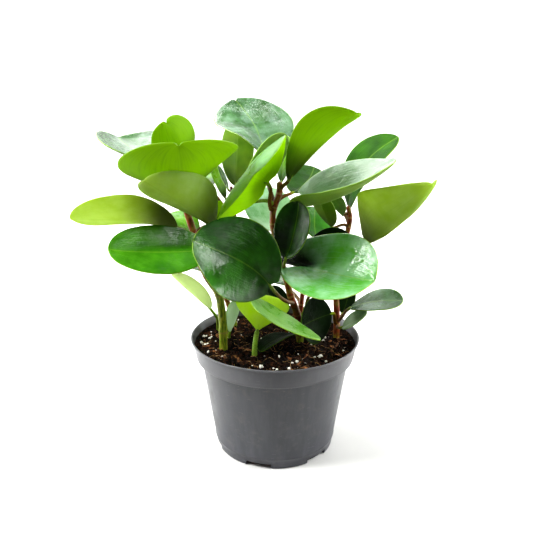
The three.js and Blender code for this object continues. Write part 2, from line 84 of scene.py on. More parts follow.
FIRST_NOTCH = -106.0

# Soil: a crumbly top, with the heights and sizes of its crumbs and lumps, on a body a little inside the
# wall, and the grains and fibres that lie on it
SOIL_LEVEL = 98.0
SOIL_RADIUS = 72.7
SOIL_RELIEF = 1.4
SOIL_RINGS = 92
SOIL_SIDES = 420
SOIL_BODY = (92.0, 88.5, 84.0, 40.0, 2.2)
SOIL_GAP = 0.45
CRUMB_HEIGHT = 1.3
CRUMB_SIZE = 5.0
GRIT_HEIGHT = 0.6
GRIT_SIZE = 1.6
LUMP_HEIGHT = 2.2
LUMP_SIZE = 3.4
EDGE_FADE = 14.0
EDGE_LEAST = 0.35
GRAIN_KINDS = 4
SMALL_SHARE = 2.5
STEM_CLEARANCE = 5.0
FULL_TURN = 6.283
FIBRE_RADIUS = 64.0
FIBRE_LIFT = 0.35
FIBRE_ARCH = 0.5
FIBRE_POINTS = 7
FIBRE_STEP = 1.7
FIBRE_BEND = 0.35
FIBRE_THICK = 0.3
FIBRE_THIN = 0.12

# Stems, with the swelling at a node and the scar round it, and petioles
STEM_DEPTH = 24.0
STEM_SIDES = 20
STEM_STEP = 1.3
STEM_END = 3.0
STEM_UNEVEN = 0.045
NODE_SWELL = 0.13
NODE_REACH = 2.6
SCAR_CUT = 0.07
SCAR_WIDTH = 0.7
SCAR_STAIN = 1.1
GREEN_FADE = 18.0
PETIOLE_SIDES = 12
PETIOLE_STEPS = 22
PETIOLE_SWING = 0.4
PETIOLE_DEPTH = 12.0
PETIOLE_RISE = 0.8
PETIOLE_SUNK = 0.72
PETIOLE_RADIUS = 1.75
PETIOLE_TAPER = 0.35
PETIOLE_FLARE = 0.5
PETIOLE_END = (1.1, 0.8, 0.3)
PETIOLE_INSIDE = (0.03, 0.07, 0.12)

# Blades: points along and across, thickness, waves, and where the formula starts and ends
STATIONS = 40
ACROSS = 21
EDGE_CROWDING = 0.92
NEAR_BASE = 0.0015
NEAR_TIP = 0.9985
BLADE_THICKNESS = 1.5
RIM_THICKNESS = 0.5
RIM_WIDTH = 3.5
MIDRIB_RISE = 0.7
MIDRIB_WIDTH = 1.1
VALLEY_DEPTH = 0.35
VALLEY_WIDTH = 1.3
VALLEY_ROUND = 0.1
WAVE_LENGTH = 26.0
WAVE_HEIGHT = 0.9
RIPPLE_HEIGHT = 0.3
RIPPLES_PER_WAVE = 2.6
CALM_WIDTH = 6.0
CALM_LENGTH = 60.0
TIP_ROUNDNESS = 0.5
LOBE_OPENING = 0.07
FULL_LOBE = 6.0
TWIST_CENTRE = 0.4
# The near black colour of the painted shade on the blades
PAINTED_SHADE = "#020802"

# Each stem: points from the soil up, its radius at the soil and at its tip, the heights of its nodes, and how
# high its green foot reaches
STEMS = {
    "left": dict(points=[(-46, -13, 98), (-46, -14, 120), (-47, -16, 136), (-49, -18, 150), (-56, -19, 162),
        (-64, -18, 178), (-68, -16, 200), (-74, -14, 221), (-78, -12, 240)],
        radius=(3.8, 2.7), nodes=(113, 149, 165, 178, 201, 226, 236), green=162),
    "middle": dict(points=[(23, 2, 98), (20, 0, 124), (14, -3, 142), (9, -6, 162), (2, -9, 190),
        (-2, -10, 208), (-2, -10, 221), (3, -10, 236), (3, -10, 246)],
        radius=(3.3, 2.5), nodes=(110, 124, 143, 164, 190, 210, 224, 236), green=104),
    "right": dict(points=[(57, 11, 98), (57, 12, 118), (56, 14, 140), (59, 17, 170), (65, 20, 195),
        (67, 22, 207), (65, 23, 219)],
        radius=(3.0, 2.1), nodes=(111, 140, 168, 184, 200, 208), green=102),
    "back_left": dict(points=[(-15, 32, 98), (-18, 33, 125), (-28, 34, 160), (-36, 35, 195), (-38, 36, 225),
        (-40, 37, 234)],
        radius=(2.8, 1.5), nodes=(125, 152, 178, 204, 225), green=112),
    "back_right": dict(points=[(24, 42, 98), (26, 43, 120), (30, 42, 150), (34, 38, 176)],
        radius=(2.7, 1.7), nodes=(118, 138, 158, 172), green=112),
    "far_back": dict(points=[(-39, 41, 98), (-45, 42, 120), (-57, 42, 150), (-66, 36, 180)],
        radius=(2.7, 1.7), nodes=(116, 138, 160, 176), green=112),
}

# Each leaf: the stem and height that its petiole leaves from, or its place in the soil; the blade's base
# and tip; its width; and its finish as its tone. Then, where it isn't the usual value: roll round the
# midrib, twist along it and fold between its halves, in degrees; arch, the bow of the midrib; sweep, its
# sideways bend; cup, the curl of the sides; lobe, the ears behind the base; long_ear and gather, one ear
# longer and tucked in; notch, a notched tip; taper, how the base narrows; crease, how deep the midrib is
# sunk; dim, the painted shade on one half as far as dim_end, on the other half where dim_side is 1; foot,
# the painted shade round the base; red and stout, how red and how thick the petiole is.
USUAL_LEAF = dict(roll=0, twist=0, fold=0, arch=0, sweep=0, cup=0, lobe=0, long_ear=0, gather=0, notch=0,
    taper=0.6, crease=0.07, dim=0, dim_end=0.22, dim_side=-1, foot=0, red=0.85, stout=1)


def row(root, base, tip, width, tone, **shape):
    """One leaf, with the usual value for what its row leaves out."""
    return dict(USUAL_LEAF, root=root, base=base, tip=tip, width=width, tone=tone, **shape)


LEAVES = {
    "far_left": row(("left", 237), (-80, 8, 258), (-143, 54, 276), 87, "blue", roll=5, cup=0.28,
        twist=-19, sweep=-6),
    "top_left_small": row(("left", 233), (-83, -8, 259), (-85, -36, 297), 39, "fresh", roll=-38, arch=-4,
        cup=0.39, twist=-25, fold=-9, sweep=-4.5, notch=3, foot=0.5),
    "near_left_top": row(("left", 226), (-71, -36, 243), (-67, -102, 287), 89, "fresh", roll=-11,
        arch=-6.5, cup=0.19, twist=11, fold=21, sweep=2, notch=4, foot=0.85),
    "near_left_mid": row(("left", 200), (-53, -38, 215), (-93, -96, 261), 43, "olive", roll=-34,
        arch=-6.5, cup=0.38, twist=-8, fold=49, sweep=-8, lobe=4),
    "left_low_lime": row(("left", 193), (-82, -16, 208), (-169, -24, 218), 61, "olive", roll=-36,
        arch=4.5, cup=0.05, fold=28, foot=0.7),
    "left_dark": row(("left", 178), (-58, -35, 194), (-131, -58, 201), 56, "mid", roll=31, twist=-10,
        fold=4, lobe=3, crease=0.14, dim=0.6, dim_end=0.9, dim_side=1),
    "front_round": row(("middle", 137), (-5, -43, 166), (-63, -70, 211), 64, "dark", roll=87, arch=5.5,
        cup=0.12, twist=-57, fold=8, sweep=5, lobe=2.5, crease=0.14, dim=0.6),
    "front_small_dark": row(("middle", 166), (8, -37, 187), (18, -29, 233), 33, "night", roll=-17,
        cup=0.04, twist=-4, fold=7, crease=0.3, dim=0.8, dim_end=0.9),
    "right_glossy": row(("middle", 160), (25, -33, 180), (74, -79, 182), 70, "gloss", roll=-30, arch=6,
        cup=0.18, twist=-13, fold=11, sweep=5, lobe=16, long_ear=2.5, gather=1.6, crease=0.1, dim=1,
        dim_end=0.32),
    "right_pale": row(("middle", 210), (27, -14, 227), (87, -60, 268), 72, "pale", roll=-17, arch=-3,
        cup=0.04, twist=11, fold=52, sweep=4, lobe=8, crease=0.05),
    "top_lime": row(("middle", 241), (11, -16, 249), (59, -51, 304), 60, "fresh", arch=8.5, cup=0.31,
        twist=35, fold=-28),
    "top_blue": row(("middle", 227), (-11, 16, 264), (-37, 74, 309), 72, "blue", roll=-1, arch=-2,
        cup=-0.11, twist=33, fold=30, sweep=9, notch=3),
    "centre_lime": row(("middle", 222), (-7, -16, 245), (-17, -76, 261), 83, "silver", roll=-54, arch=15,
        cup=-0.22, twist=7, sweep=3.5, lobe=2),
    "centre_pale": row(("middle", 226), (-28, -14, 231), (8, -6, 284), 34, "blue", roll=55, cup=0.06,
        twist=12, fold=-5, red=0.1),
    "narrow_top": row(("middle", 236), (5, 4, 243), (10, 22, 280), 13, "fresh", roll=10, cup=0.09),
    "right_top_back": row(("middle", 230), (15, 9, 233), (37, 65, 247), 35, "matt", roll=-14, cup=0.08,
        twist=-8, sweep=3.5),
    "behind_crescent": row(("middle", 182), (27, -14, 186), (65, -14, 197), 37, "deep", roll=-30, arch=1,
        cup=0.12),
    "right_dark": row(("right", 208), (68, 39, 213), (106, 22, 279), 48, "matt", roll=-42, arch=16,
        cup=0.05, crease=0.12),
    "right_olive": row(("right", 184), (77, -18, 195), (115, -67, 254), 62, "olive", roll=21, arch=-8,
        cup=0.4, twist=-36, fold=61, sweep=3.5, lobe=2.5),
    "right_back_small": row(("right", 212), (60, 20, 211), (43, 2, 236), 13, "dark", roll=-20, sweep=-3,
        cup=0.09),
    "right_back_olive": row(("right", 200), (50, 14, 202), (34, -10, 237), 21, "moss", cup=0.1),
    "low_right_grey": row(("right", 114), (68, 3, 129), (110, -20, 144), 31, "blue", roll=-19, arch=4,
        cup=0.09, twist=-11),
    "low_right_dark": row(("right", 108), (60, -8, 115), (79, -19, 132), 26, "ash", roll=-20, cup=0.05,
        twist=10, fold=12),
    "low_dark_round": row(("right", 112), (51, 2, 124), (22, -32, 125), 41, "deep", roll=78, arch=-2,
        cup=0.08),
    "low_small_dark": row(("right", 113), (63, 18, 118), (70, 30, 141), 17, "deep", arch=-3, cup=0.09),
    "low_front_green": row(("left", 149), (-18, -35, 152), (36, -59, 125), 41, "jade", roll=11, arch=-2,
        twist=12, fold=-7, lobe=2, crease=0.14),
    "low_front_lime": row((-18, -28), (-16, -17, 114), (-9, -19, 149), 47, "lime", roll=70, cup=0.04,
        taper=1.4, red=0, stout=1.5),
    "low_left_lime": row((-54, 28), (-59, 9, 126), (-91, 1, 163), 31, "cream", roll=-30, arch=2.5,
        cup=0.12, twist=-3, fold=3, red=0.2),
    "low_grey": row((-42, 8), (-41, 4, 106), (-35, 3, 138), 24, "grey", roll=15, cup=0.1, twist=17,
        fold=-9, red=0.1),
    "low_shadow_left": row((11, 13), (9, 15, 112), (-9, 9, 145), 31, "deep", roll=51, arch=1, cup=0.16,
        twist=8, fold=13),
    "low_shadow_front": row(("middle", 105), (17, -8, 108), (-13, -34, 103), 25, "deep", roll=-10, arch=4,
        cup=0.15),
    "left_stub": row(("left", 203), (-51, -5, 211), (-47, -12, 230), 9, "fresh", arch=-3, cup=0.09),
    "top_lime_behind": row(("back_left", 225), (-36, 48, 232), (-34, 88, 292), 31, "moss", roll=180,
        cup=0.06),
    "back_left_blue": row(("back_left", 212), (-45, 36, 223), (-58, 40, 256), 13, "fresh", roll=21,
        cup=0.16),
    "back_left_narrow": row(("back_left", 229), (-42, 31, 232), (-51, 38, 252), 7, "blue", cup=0.09),
    "left_behind_lime": row(("far_back", 178), (-72, 30, 190), (-101, 61, 203), 28, "fresh", roll=5,
        arch=3, cup=0.22, twist=10),
    "centre_back_blue": row(("back_right", 172), (2, 40, 191), (-12, 85, 224), 47, "grey", roll=5,
        arch=-2, cup=0.1),
    "right_of_centre_back": row(("back_right", 174), (38, 28, 187), (39, 66, 208), 34, "dark", roll=-24,
        arch=-2),
    "behind_glossy": row(("middle", 110), (33, -6, 146), (68, -19, 162), 40, "dark", roll=6, arch=3,
        cup=0.1),
    "rear_low_left": row(("far_back", 138), (-66, 64, 146), (-96, 116, 150), 58, "dark", roll=8, arch=6,
        cup=0.12, fold=10, lobe=4),
    "rear_left": row(("far_back", 160), (-78, 52, 176), (-134, 76, 172), 50, "dark", roll=4, arch=6,
        cup=0.1, fold=8),
    "rear_middle": row(("back_left", 152), (-34, 64, 166), (-42, 124, 166), 60, "dark", roll=-6, arch=7,
        cup=0.14, fold=10, lobe=3),
    "rear_low_middle": row(("back_right", 118), (12, 70, 128), (-4, 118, 126), 50, "dark", roll=5, arch=5,
        cup=0.1, fold=8),
    "rear_low_right": row(("back_right", 138), (50, 66, 144), (86, 110, 148), 58, "dark", roll=-8, arch=6,
        cup=0.12, fold=12, lobe=4),
    "rear_right": row(("back_right", 158), (30, 66, 164), (24, 122, 160), 54, "dark", roll=4, arch=6,
        cup=0.1, fold=10),
    "rear_high_left": row(("back_left", 203), (-62, 62, 228), (-88, 110, 232), 48, "fresh", roll=6,
        arch=4, cup=0.12, fold=8),
    "rear_high_right": row(("right", 204), (56, 54, 222), (50, 106, 226), 48, "fresh", roll=6, arch=4,
        cup=0.12, fold=8),
}


def linear(code):
    """An sRGB hex colour as linear RGBA."""
    channels = [int(code[i:i + 2], 16) / 255 for i in (1, 3, 5)]
    return [c / 12.92 if c <= 0.04045 else ((c + 0.055) / 1.055) ** 2.4 for c in channels] + [1.0]


def add(tree, kind, inputs=None, **settings):
    """Adds a node. inputs gives a value or another node's output for each input, by name or number."""
    node = tree.nodes.new(kind)
    for key, value in settings.items():
        setattr(node, key, value)
    for key, value in (inputs or {}).items():
        if isinstance(value, bpy.types.NodeSocket):
            tree.links.new(value, node.inputs[key])
        else:
            node.inputs[key].default_value = value
    return node


def new_material(name):
    """An empty material, its tree, and the object's own place in millimetres for noise of a real size."""
    material = bpy.data.materials.new(name)
    material.use_nodes = True
    tree = material.node_tree
    tree.nodes.clear()
    place = add(tree, "ShaderNodeTexCoord").outputs["Object"]
    scaled = add(tree, "ShaderNodeVectorMath", {0: place, 3: 1 / MM}, operation="SCALE")
    return material, tree, scaled.outputs[0]


def blend(tree, factor, first, second):
    """Mixes two colours, each a hex code or an output."""
    first, second = [linear(colour) if isinstance(colour, str) else colour for colour in (first, second)]
    return add(tree, "ShaderNodeMix", {0: factor, 6: first, 7: second}, data_type="RGBA").outputs[2]


def ramp(tree, value, low, high, start=0.0, end=1.0):
    """Maps a value from low..high to start..end, smoothly and held at both ends."""
    node = add(tree, "ShaderNodeMapRange", {0: value, 1: low, 2: high, 3: start, 4: end},
        interpolation_type="SMOOTHSTEP")
    return node.outputs[0]


def calc(tree, operation, *values):
    return add(tree, "ShaderNodeMath", dict(enumerate(values)), operation=operation).outputs[0]


def mark(tree, name):
    """A number that the piece carries at each vertex."""
    return add(tree, "ShaderNodeAttribute", attribute_name=name).outputs["Fac"]


def clouds(tree, place, size, detail, roughness=0.5):
    """Noise with patches of about this size, in the units of the place."""
    return add(tree, "ShaderNodeTexNoise",
        {"Vector": place, "Scale": 1 / size, "Detail": detail, "Roughness": roughness}).outputs[0]


def stretched(tree, place, *scale):
    return add(tree, "ShaderNodeMapping", {0: place, 3: scale}).outputs[0]


def relief(tree, height, strength, depth, lower=None):
    """A bump of this many millimetres, over a lower one where there is one."""
    sockets = {"Height": height, "Strength": strength, "Distance": depth * MM}
    if lower is not None:
        sockets["Normal"] = lower
    return add(tree, "ShaderNodeBump", sockets).outputs[0]


def principled(tree, colour, rough, ior, bump):
    return add(tree, "ShaderNodeBsdfPrincipled",
        {"Base Color": colour, "Roughness": rough, "IOR": ior, "Normal": bump}).outputs[0]


def make_mesh(name, vertices, faces, smooth=True):
    """An object whose mesh holds vertices given in millimetres."""
    mesh = bpy.data.meshes.new(name)
    mesh.from_pydata((np.asarray(vertices, float) * MM).tolist(), [], faces)
    mesh.polygons.foreach_set("use_smooth", [smooth] * len(mesh.polygons))
    mesh.update()
    piece = bpy.data.objects.new(name, mesh)
    bpy.context.scene.collection.objects.link(piece)
    return piece


def give(piece, **values):
    """Stores one number per vertex under each name."""
    for name, numbers in values.items():
        layer = piece.data.attributes.new(name, "FLOAT", "POINT")
        layer.data.foreach_set("value", np.asarray(numbers, np.float32).ravel())


def unit(v):
    return v / np.linalg.norm(v)


def catmull_rom(points, steps):
    """A centripetal Catmull-Rom curve through the points, sampled finely."""
    p = np.asarray(points, float)
    p = np.vstack([2 * p[0] - p[1], p, 2 * p[-1] - p[-2]])
    out = []
    for i in range(1, len(p) - 2):
        a, b, c, d = p[i - 1:i + 3]
        t1 = np.linalg.norm(b - a) ** 0.5
        t2 = np.linalg.norm(c - b) ** 0.5
        t3 = np.linalg.norm(d - c) ** 0.5
        m1 = ((b - a) / t1 - (c - a) / (t1 + t2) + (c - b) / t2) * t2
        m2 = ((c - b) / t2 - (d - b) / (t2 + t3) + (d - c) / t3) * t2
        for t in np.arange(steps) / steps:
            out.append(b * (2 * t ** 3 - 3 * t ** 2 + 1) + c * (3 * t ** 2 - 2 * t ** 3)
                + m1 * (t ** 3 - 2 * t ** 2 + t) + m2 * (t ** 3 - t ** 2))
    out.append(p[-2])
    return np.array(out)


def even(points, count):
    """The same path in equal steps."""
    length = np.concatenate([[0], np.cumsum(np.linalg.norm(np.diff(points, axis=0), axis=1))])
    want = np.linspace(0, length[-1], count)
    return np.stack([np.interp(want, length, points[:, k]) for k in range(3)], 1)


def bezier(a, b, c, d, count):
    t = np.linspace(0, 1, count)[:, None]
    return (1 - t) ** 3 * a + 3 * (1 - t) ** 2 * t * b + 3 * (1 - t) * t ** 2 * c + t ** 3 * d


def circle(radius, sides, shift=0):
    angles = [(i + shift) * 2 * math.pi / sides for i in range(sides)]
    return [(radius * math.cos(a), radius * math.sin(a)) for a in angles]


def bands(rings, sides, first=0):
    """The faces between rings of vertices that are numbered one after another."""
    faces = []
    for a in range(first, first + (rings - 1) * sides, sides):
        b = a + sides
        for i in range(sides):
            j = (i + 1) % sides
            faces.append((a + i, a + j, b + j, b + i))
    return faces


def closed_skin(first, rings, last):
    """Vertices and faces from one point over rings to another point."""
    sides = len(rings[0])
    vertices = [first] + [corner for ring in rings for corner in ring] + [last]
    end = len(vertices) - 1
    faces = [(0, 1 + (i + 1) % sides, 1 + i) for i in range(sides)]
    faces += bands(len(rings), sides, 1)
    faces += [(end - sides + i, end - sides + (i + 1) % sides, end) for i in range(sides)]
    return vertices, faces


def sweep(path, radii, sides, hint):
    """Rings round a path, turned as little as they can be, with the faces between them and at both ends."""
    tangents = np.gradient(path, axis=0)
    tangents /= np.linalg.norm(tangents, axis=1)[:, None]
    side = unit(hint - tangents[0] * (hint @ tangents[0]))
    angles = np.arange(sides) * 2 * np.pi / sides
    rings = []
    for point, tangent, radius in zip(path, tangents, radii):
        side = unit(side - tangent * (side @ tangent))
        other = np.cross(tangent, side)
        ring = np.cos(angles)[:, None] * side + np.sin(angles)[:, None] * other
        rings.append(point + ring * np.reshape(radius, (-1, 1)))
    faces = bands(len(path), sides)
    faces.append(tuple(reversed(range(sides))))
    faces.append(tuple((len(path) - 1) * sides + i for i in range(sides)))
    return np.concatenate(rings), faces


# Stems

def stem_path(stem):
    x, y, z = stem["points"][0]
    return catmull_rom([(x, y, z - STEM_DEPTH)] + list(stem["points"]), 24)


def stem_radius(stem, z):
    low, high = stem["points"][0][2], stem["points"][-1][2]
    rise = np.clip((z - low) / (high - low), 0, 1)
    return stem["radius"][0] + rise * (stem["radius"][1] - stem["radius"][0])


def stem_at(stem, z):
    """The stem's middle and its direction at a height."""
    path = stem_path(stem)
    point = np.array([np.interp(z, path[:, 2], path[:, k]) for k in range(3)])
    ahead = np.array([np.interp(z + 1.0, path[:, 2], path[:, k]) for k in range(3)])
    behind = np.array([np.interp(z - 1.0, path[:, 2], path[:, k]) for k in range(3)])
    return point, unit(ahead - behind)


def build_stem(name, stem):
    path = stem_path(stem)
    length = np.linalg.norm(np.diff(path, axis=0), axis=1).sum()
    path = even(path, int(length / STEM_STEP))
    z = path[:, 2]
    near = np.min(np.abs(z[:, None] - np.array(stem["nodes"])[None, :]), axis=1)
    swell = 1 + NODE_SWELL * np.exp(-(near / NODE_REACH) ** 2) - SCAR_CUT * np.exp(-(near / SCAR_WIDTH) ** 2)
    radii = stem_radius(stem, z) * swell
    from_tip = np.arange(len(z))[::-1] * STEM_STEP
    radii = radii * np.sqrt(np.clip(1 - (1 - np.minimum(from_tip / STEM_END, 1)) ** 2, 0.02, 1))
    angles = np.arange(STEM_SIDES) * 2 * np.pi / STEM_SIDES
    uneven = np.ones((len(z), STEM_SIDES))
    for i, h in enumerate(z):
        for j, a in enumerate(angles):
            place = Vector((math.cos(a) * 0.8, math.sin(a) * 0.8, h * 0.12 + len(name)))
            uneven[i, j] += STEM_UNEVEN * noise.noise(place)
    vertices, faces = sweep(path, radii[:, None] * uneven, STEM_SIDES, np.array([1.0, 0, 0]))
    piece = make_mesh(f"stalk_{name}", vertices, faces)
    give(piece, scar=np.repeat(np.exp(-(near / SCAR_STAIN) ** 2), STEM_SIDES),
        green=np.repeat(np.clip((stem["green"] + GREEN_FADE / 2 - z) / GREEN_FADE, 0, 1), STEM_SIDES))
    return piece


# Leaves

class Blade:
    """One leaf's surface: a formula in s, from base (0) to tip (1), and t, across it from -1 to 1."""

    def __init__(self, leaf):
        self.leaf = leaf
        self.base = np.array(leaf["base"], float)
        chord = np.array(leaf["tip"], float) - self.base
        self.length = np.linalg.norm(chord)
        self.along = chord / self.length
        level = unit(np.array([self.along[1], -self.along[0], 0.0]))
        normal = np.cross(level, self.along)
        roll = math.radians(leaf["roll"])
        self.side = level * math.cos(roll) + normal * math.sin(roll)
        self.up = normal * math.cos(roll) - level * math.sin(roll)

    def half(self, s):
        """Half the width."""
        lobe = min(self.leaf["lobe"] / FULL_LOBE, 1)
        q = s + LOBE_OPENING * lobe * (1 - s)
        taper = self.leaf["taper"]
        peak = taper / (taper + TIP_ROUNDNESS)
        top = peak ** taper * (1 - peak) ** TIP_ROUNDNESS
        widening = self.leaf["width"] / 2 * np.maximum(q, 0) ** taper
        return widening * np.maximum(1 - q, 0) ** TIP_ROUNDNESS / top

    def at(self, s, t):
        """The middle of the blade's thickness, in millimetres."""
        leaf = self.leaf
        s, t = np.broadcast_arrays(np.asarray(s, float), np.asarray(t, float))
        twist = math.radians(leaf["twist"]) * (s - TWIST_CENTRE)
        cos, sin = np.cos(twist)[..., None], np.sin(twist)[..., None]
        side = self.side * cos + self.up * sin
        up = self.up * cos - self.side * sin
        half = self.half(s)
        fold = math.radians(leaf["fold"]) * np.maximum(1 - s, 0) ** 1.2
        spread = np.hypot(t, VALLEY_ROUND) - VALLEY_ROUND
        bow = 4 * s * (1 - s)
        reach = 1 + leaf["long_ear"] * np.maximum(-t, 0)
        ear = leaf["lobe"] * reach * np.abs(t) ** 1.6 * (1 - s) ** 3
        sunk = leaf["crease"] * half * np.maximum(1 - np.hypot(t, 0.04), 0) * np.minimum(s / 0.15, 1)
        gather = 1 - leaf["gather"] * (t < 0) * np.maximum(1 - s, 0) ** 6
        notch = leaf["notch"] * (1 - np.abs(t)) ** 2 * np.maximum(s, 0) ** 12
        return (self.base + self.along * (s * self.length - ear - notch)[..., None]
            + self.up * (leaf["arch"] * bow)[..., None] + self.side * (leaf["sweep"] * bow)[..., None]
            + side * (half * t * np.cos(fold) * gather)[..., None]
            + up * (half * (spread * np.sin(fold) + leaf["cup"] * t * t) - sunk)[..., None])


def petiole_path(leaf, blade):
    """From the blade's base down to the stem, or to the foot in the soil."""
    end = blade.at(0, 0)
    inward = unit(blade.at(0.02, 0) - end)
    if leaf["root"][0] not in STEMS:
        foot = np.array([*leaf["root"], SOIL_LEVEL], float)
        reach = np.linalg.norm(end - foot) * PETIOLE_SWING
        lift = np.array([0, 0, reach])
        bent = bezier(foot, foot + lift, end - inward * reach, end, 40)
        path = np.vstack([foot - np.array([0, 0, PETIOLE_DEPTH]), bent])
        return even(path, PETIOLE_STEPS + 6)
    stem_name, height = leaf["root"]
    stem = STEMS[stem_name]
    centre, tangent = stem_at(stem, height)
    outward = end - centre
    outward = unit(outward - tangent * (outward @ tangent))
    root = centre + outward * stem_radius(stem, centre[2]) * PETIOLE_SUNK
    reach = np.linalg.norm(end - root) * PETIOLE_SWING
    leaving = unit(outward + tangent * PETIOLE_RISE)
    return even(bezier(root, root + leaving * reach, end - inward * reach, end, 40), PETIOLE_STEPS)


def build_leaf(name, leaf, order):
    """A blade with a thin rounded rim and a midrib, on its petiole, with the marks that its finish reads."""
    blade = Blade(leaf)
    u = np.linspace(0, 1, STATIONS)
    s = (0.5 - 0.5 * np.cos(np.pi * u)) * NEAR_TIP
    if leaf["lobe"] == 0:
        s[0] = NEAR_BASE
    t = np.sin(np.linspace(-1, 1, ACROSS) * np.pi / 2 * EDGE_CROWDING) / math.sin(np.pi / 2 * EDGE_CROWDING)
    s2, t2 = s[:, None], t[None, :]
    middle = blade.at(s2, t2)
    step = 0.01
    along = blade.at(np.minimum(s2 + step, 1), t2) - blade.at(np.maximum(s2 - step, 0), t2)
    across = blade.at(s2, np.minimum(t2 + step, 1)) - blade.at(s2, np.maximum(t2 - step, -1))
    normal = np.cross(across, along)
    normal /= np.maximum(np.linalg.norm(normal, axis=2), 1e-9)[..., None]
    half = blade.half(s2)
    inland = np.abs(t2) * half
    shore = (1 - np.abs(t2)) * half

    # Gentle waves and quilting between the side veins, seeded by the leaf's place in the table
    shape = middle.shape[:2]
    wave = np.zeros(shape)
    for i in range(STATIONS):
        for j in range(ACROSS):
            p = Vector((s[i] * blade.length / WAVE_LENGTH, t[j] * half[i, 0] / WAVE_LENGTH, order * 7.3))
            wave[i, j] = WAVE_HEIGHT * noise.noise(p) + RIPPLE_HEIGHT * noise.noise(p * RIPPLES_PER_WAVE)
    wave *= np.minimum(inland / CALM_WIDTH, 1) * np.minimum(blade.length / CALM_LENGTH, 1)
    valley = -VALLEY_DEPTH * np.exp(-(inland / VALLEY_WIDTH) ** 2) * (1 - s2) ** 0.5
    swelling = (BLADE_THICKNESS - RIM_THICKNESS) / 2 * np.clip(shore / RIM_WIDTH, 0, 1) ** 0.5
    thick = RIM_THICKNESS / 2 + swelling
    rib = MIDRIB_RISE * np.exp(-(inland / MIDRIB_WIDTH) ** 2) * (1 - s2)
    top = middle + normal * (wave + valley + thick)[..., None]
    under = middle + normal * (wave - thick - rib)[..., None]

    count = STATIONS * ACROSS
    vertices = np.concatenate([top.reshape(-1, 3), under.reshape(-1, 3)])
    faces = []
    for i in range(STATIONS - 1):
        for j in range(ACROSS - 1):
            a = i * ACROSS + j
            faces.append((a, a + 1, a + 1 + ACROSS, a + ACROSS))
            faces.append((count + a, count + a + ACROSS, count + a + 1 + ACROSS, count + a + 1))
    for i in range(STATIONS - 1):
        left, right = i * ACROSS, i * ACROSS + ACROSS - 1
        faces.append((left, left + ACROSS, count + left + ACROSS, count + left))
        faces.append((right, count + right, count + right + ACROSS, right + ACROSS))
    last = (STATIONS - 1) * ACROSS
    for j in range(ACROSS - 1):
        faces.append((j, count + j, count + j + 1, j + 1))
        faces.append((last + j, last + j + 1, count + last + j + 1, count + last + j))

    path = petiole_path(leaf, blade)
    inner = blade.at(np.array(PETIOLE_INSIDE), 0.0) - normal[2, ACROSS // 2] * 0.5
    path = np.vstack([path, inner])
    share = np.linspace(0, 1, len(path))
    thin = min(1.0, 0.62 + leaf["width"] / 110) * leaf["stout"]
    flare = PETIOLE_FLARE * np.exp(-(share / 0.06) ** 2) * (leaf["root"][0] in STEMS)
    radii = (PETIOLE_RADIUS - PETIOLE_TAPER * share + flare) * thin
    radii[-3:] = np.array(PETIOLE_END) * thin
    stalk, stalk_faces = sweep(path, radii, PETIOLE_SIDES, blade.side)
    faces += [tuple(2 * count + k for k in face) for face in stalk_faces]
    vertices = np.concatenate([vertices, stalk])

    piece = make_mesh(f"blade_{name}", vertices, faces)
    zero = np.zeros(len(stalk))
    red = leaf["red"] * np.clip((0.95 - share) / 0.3, 0, 1)
    # Painted shade: round the base on both faces (foot) and over one half near the base (dim)
    foot = leaf["foot"] * np.clip(1.5 - s2 / 0.3, 0, 1) * np.ones(ACROSS)
    shaded_half = np.clip(leaf["dim_side"] * t2 * 4, 0, 1)
    dim = leaf["dim"] * shaded_half * np.clip(1.4 - s2 / leaf["dim_end"], 0, 1)
    give(piece,
        upper=np.concatenate([np.ones(count), np.zeros(count), zero]),
        stalk=np.concatenate([np.zeros(2 * count), zero + 1]),
        red=np.concatenate([np.zeros(2 * count), np.repeat(red, PETIOLE_SIDES)]),
        inland=np.concatenate([inland.ravel(), inland.ravel(), zero + 5]),
        shore=np.concatenate([np.broadcast_to(shore, shape).ravel()] * 2 + [zero + 5]),
        tint=np.full(2 * count + len(stalk), (order * 0.618) % 1.0),
        dim=np.concatenate([np.maximum(dim, foot).ravel(), foot.ravel(), zero]))
    face_uv = np.stack([np.broadcast_to(s2, shape), np.broadcast_to(t2 * 0.5 + 0.5, shape)], -1)
    face_uv = face_uv.reshape(-1, 2)
    stalk_uv = np.stack([np.repeat(share, PETIOLE_SIDES) * 0.1, zero + 0.5], 1)
    flat = np.concatenate([face_uv, face_uv, stalk_uv])
    layer = piece.data.uv_layers.new(name="blade")
    index = np.empty(len(piece.data.loops), int)
    piece.data.loops.foreach_get("vertex_index", index)
    layer.data.foreach_set("uv", flat[index].ravel())
    return piece
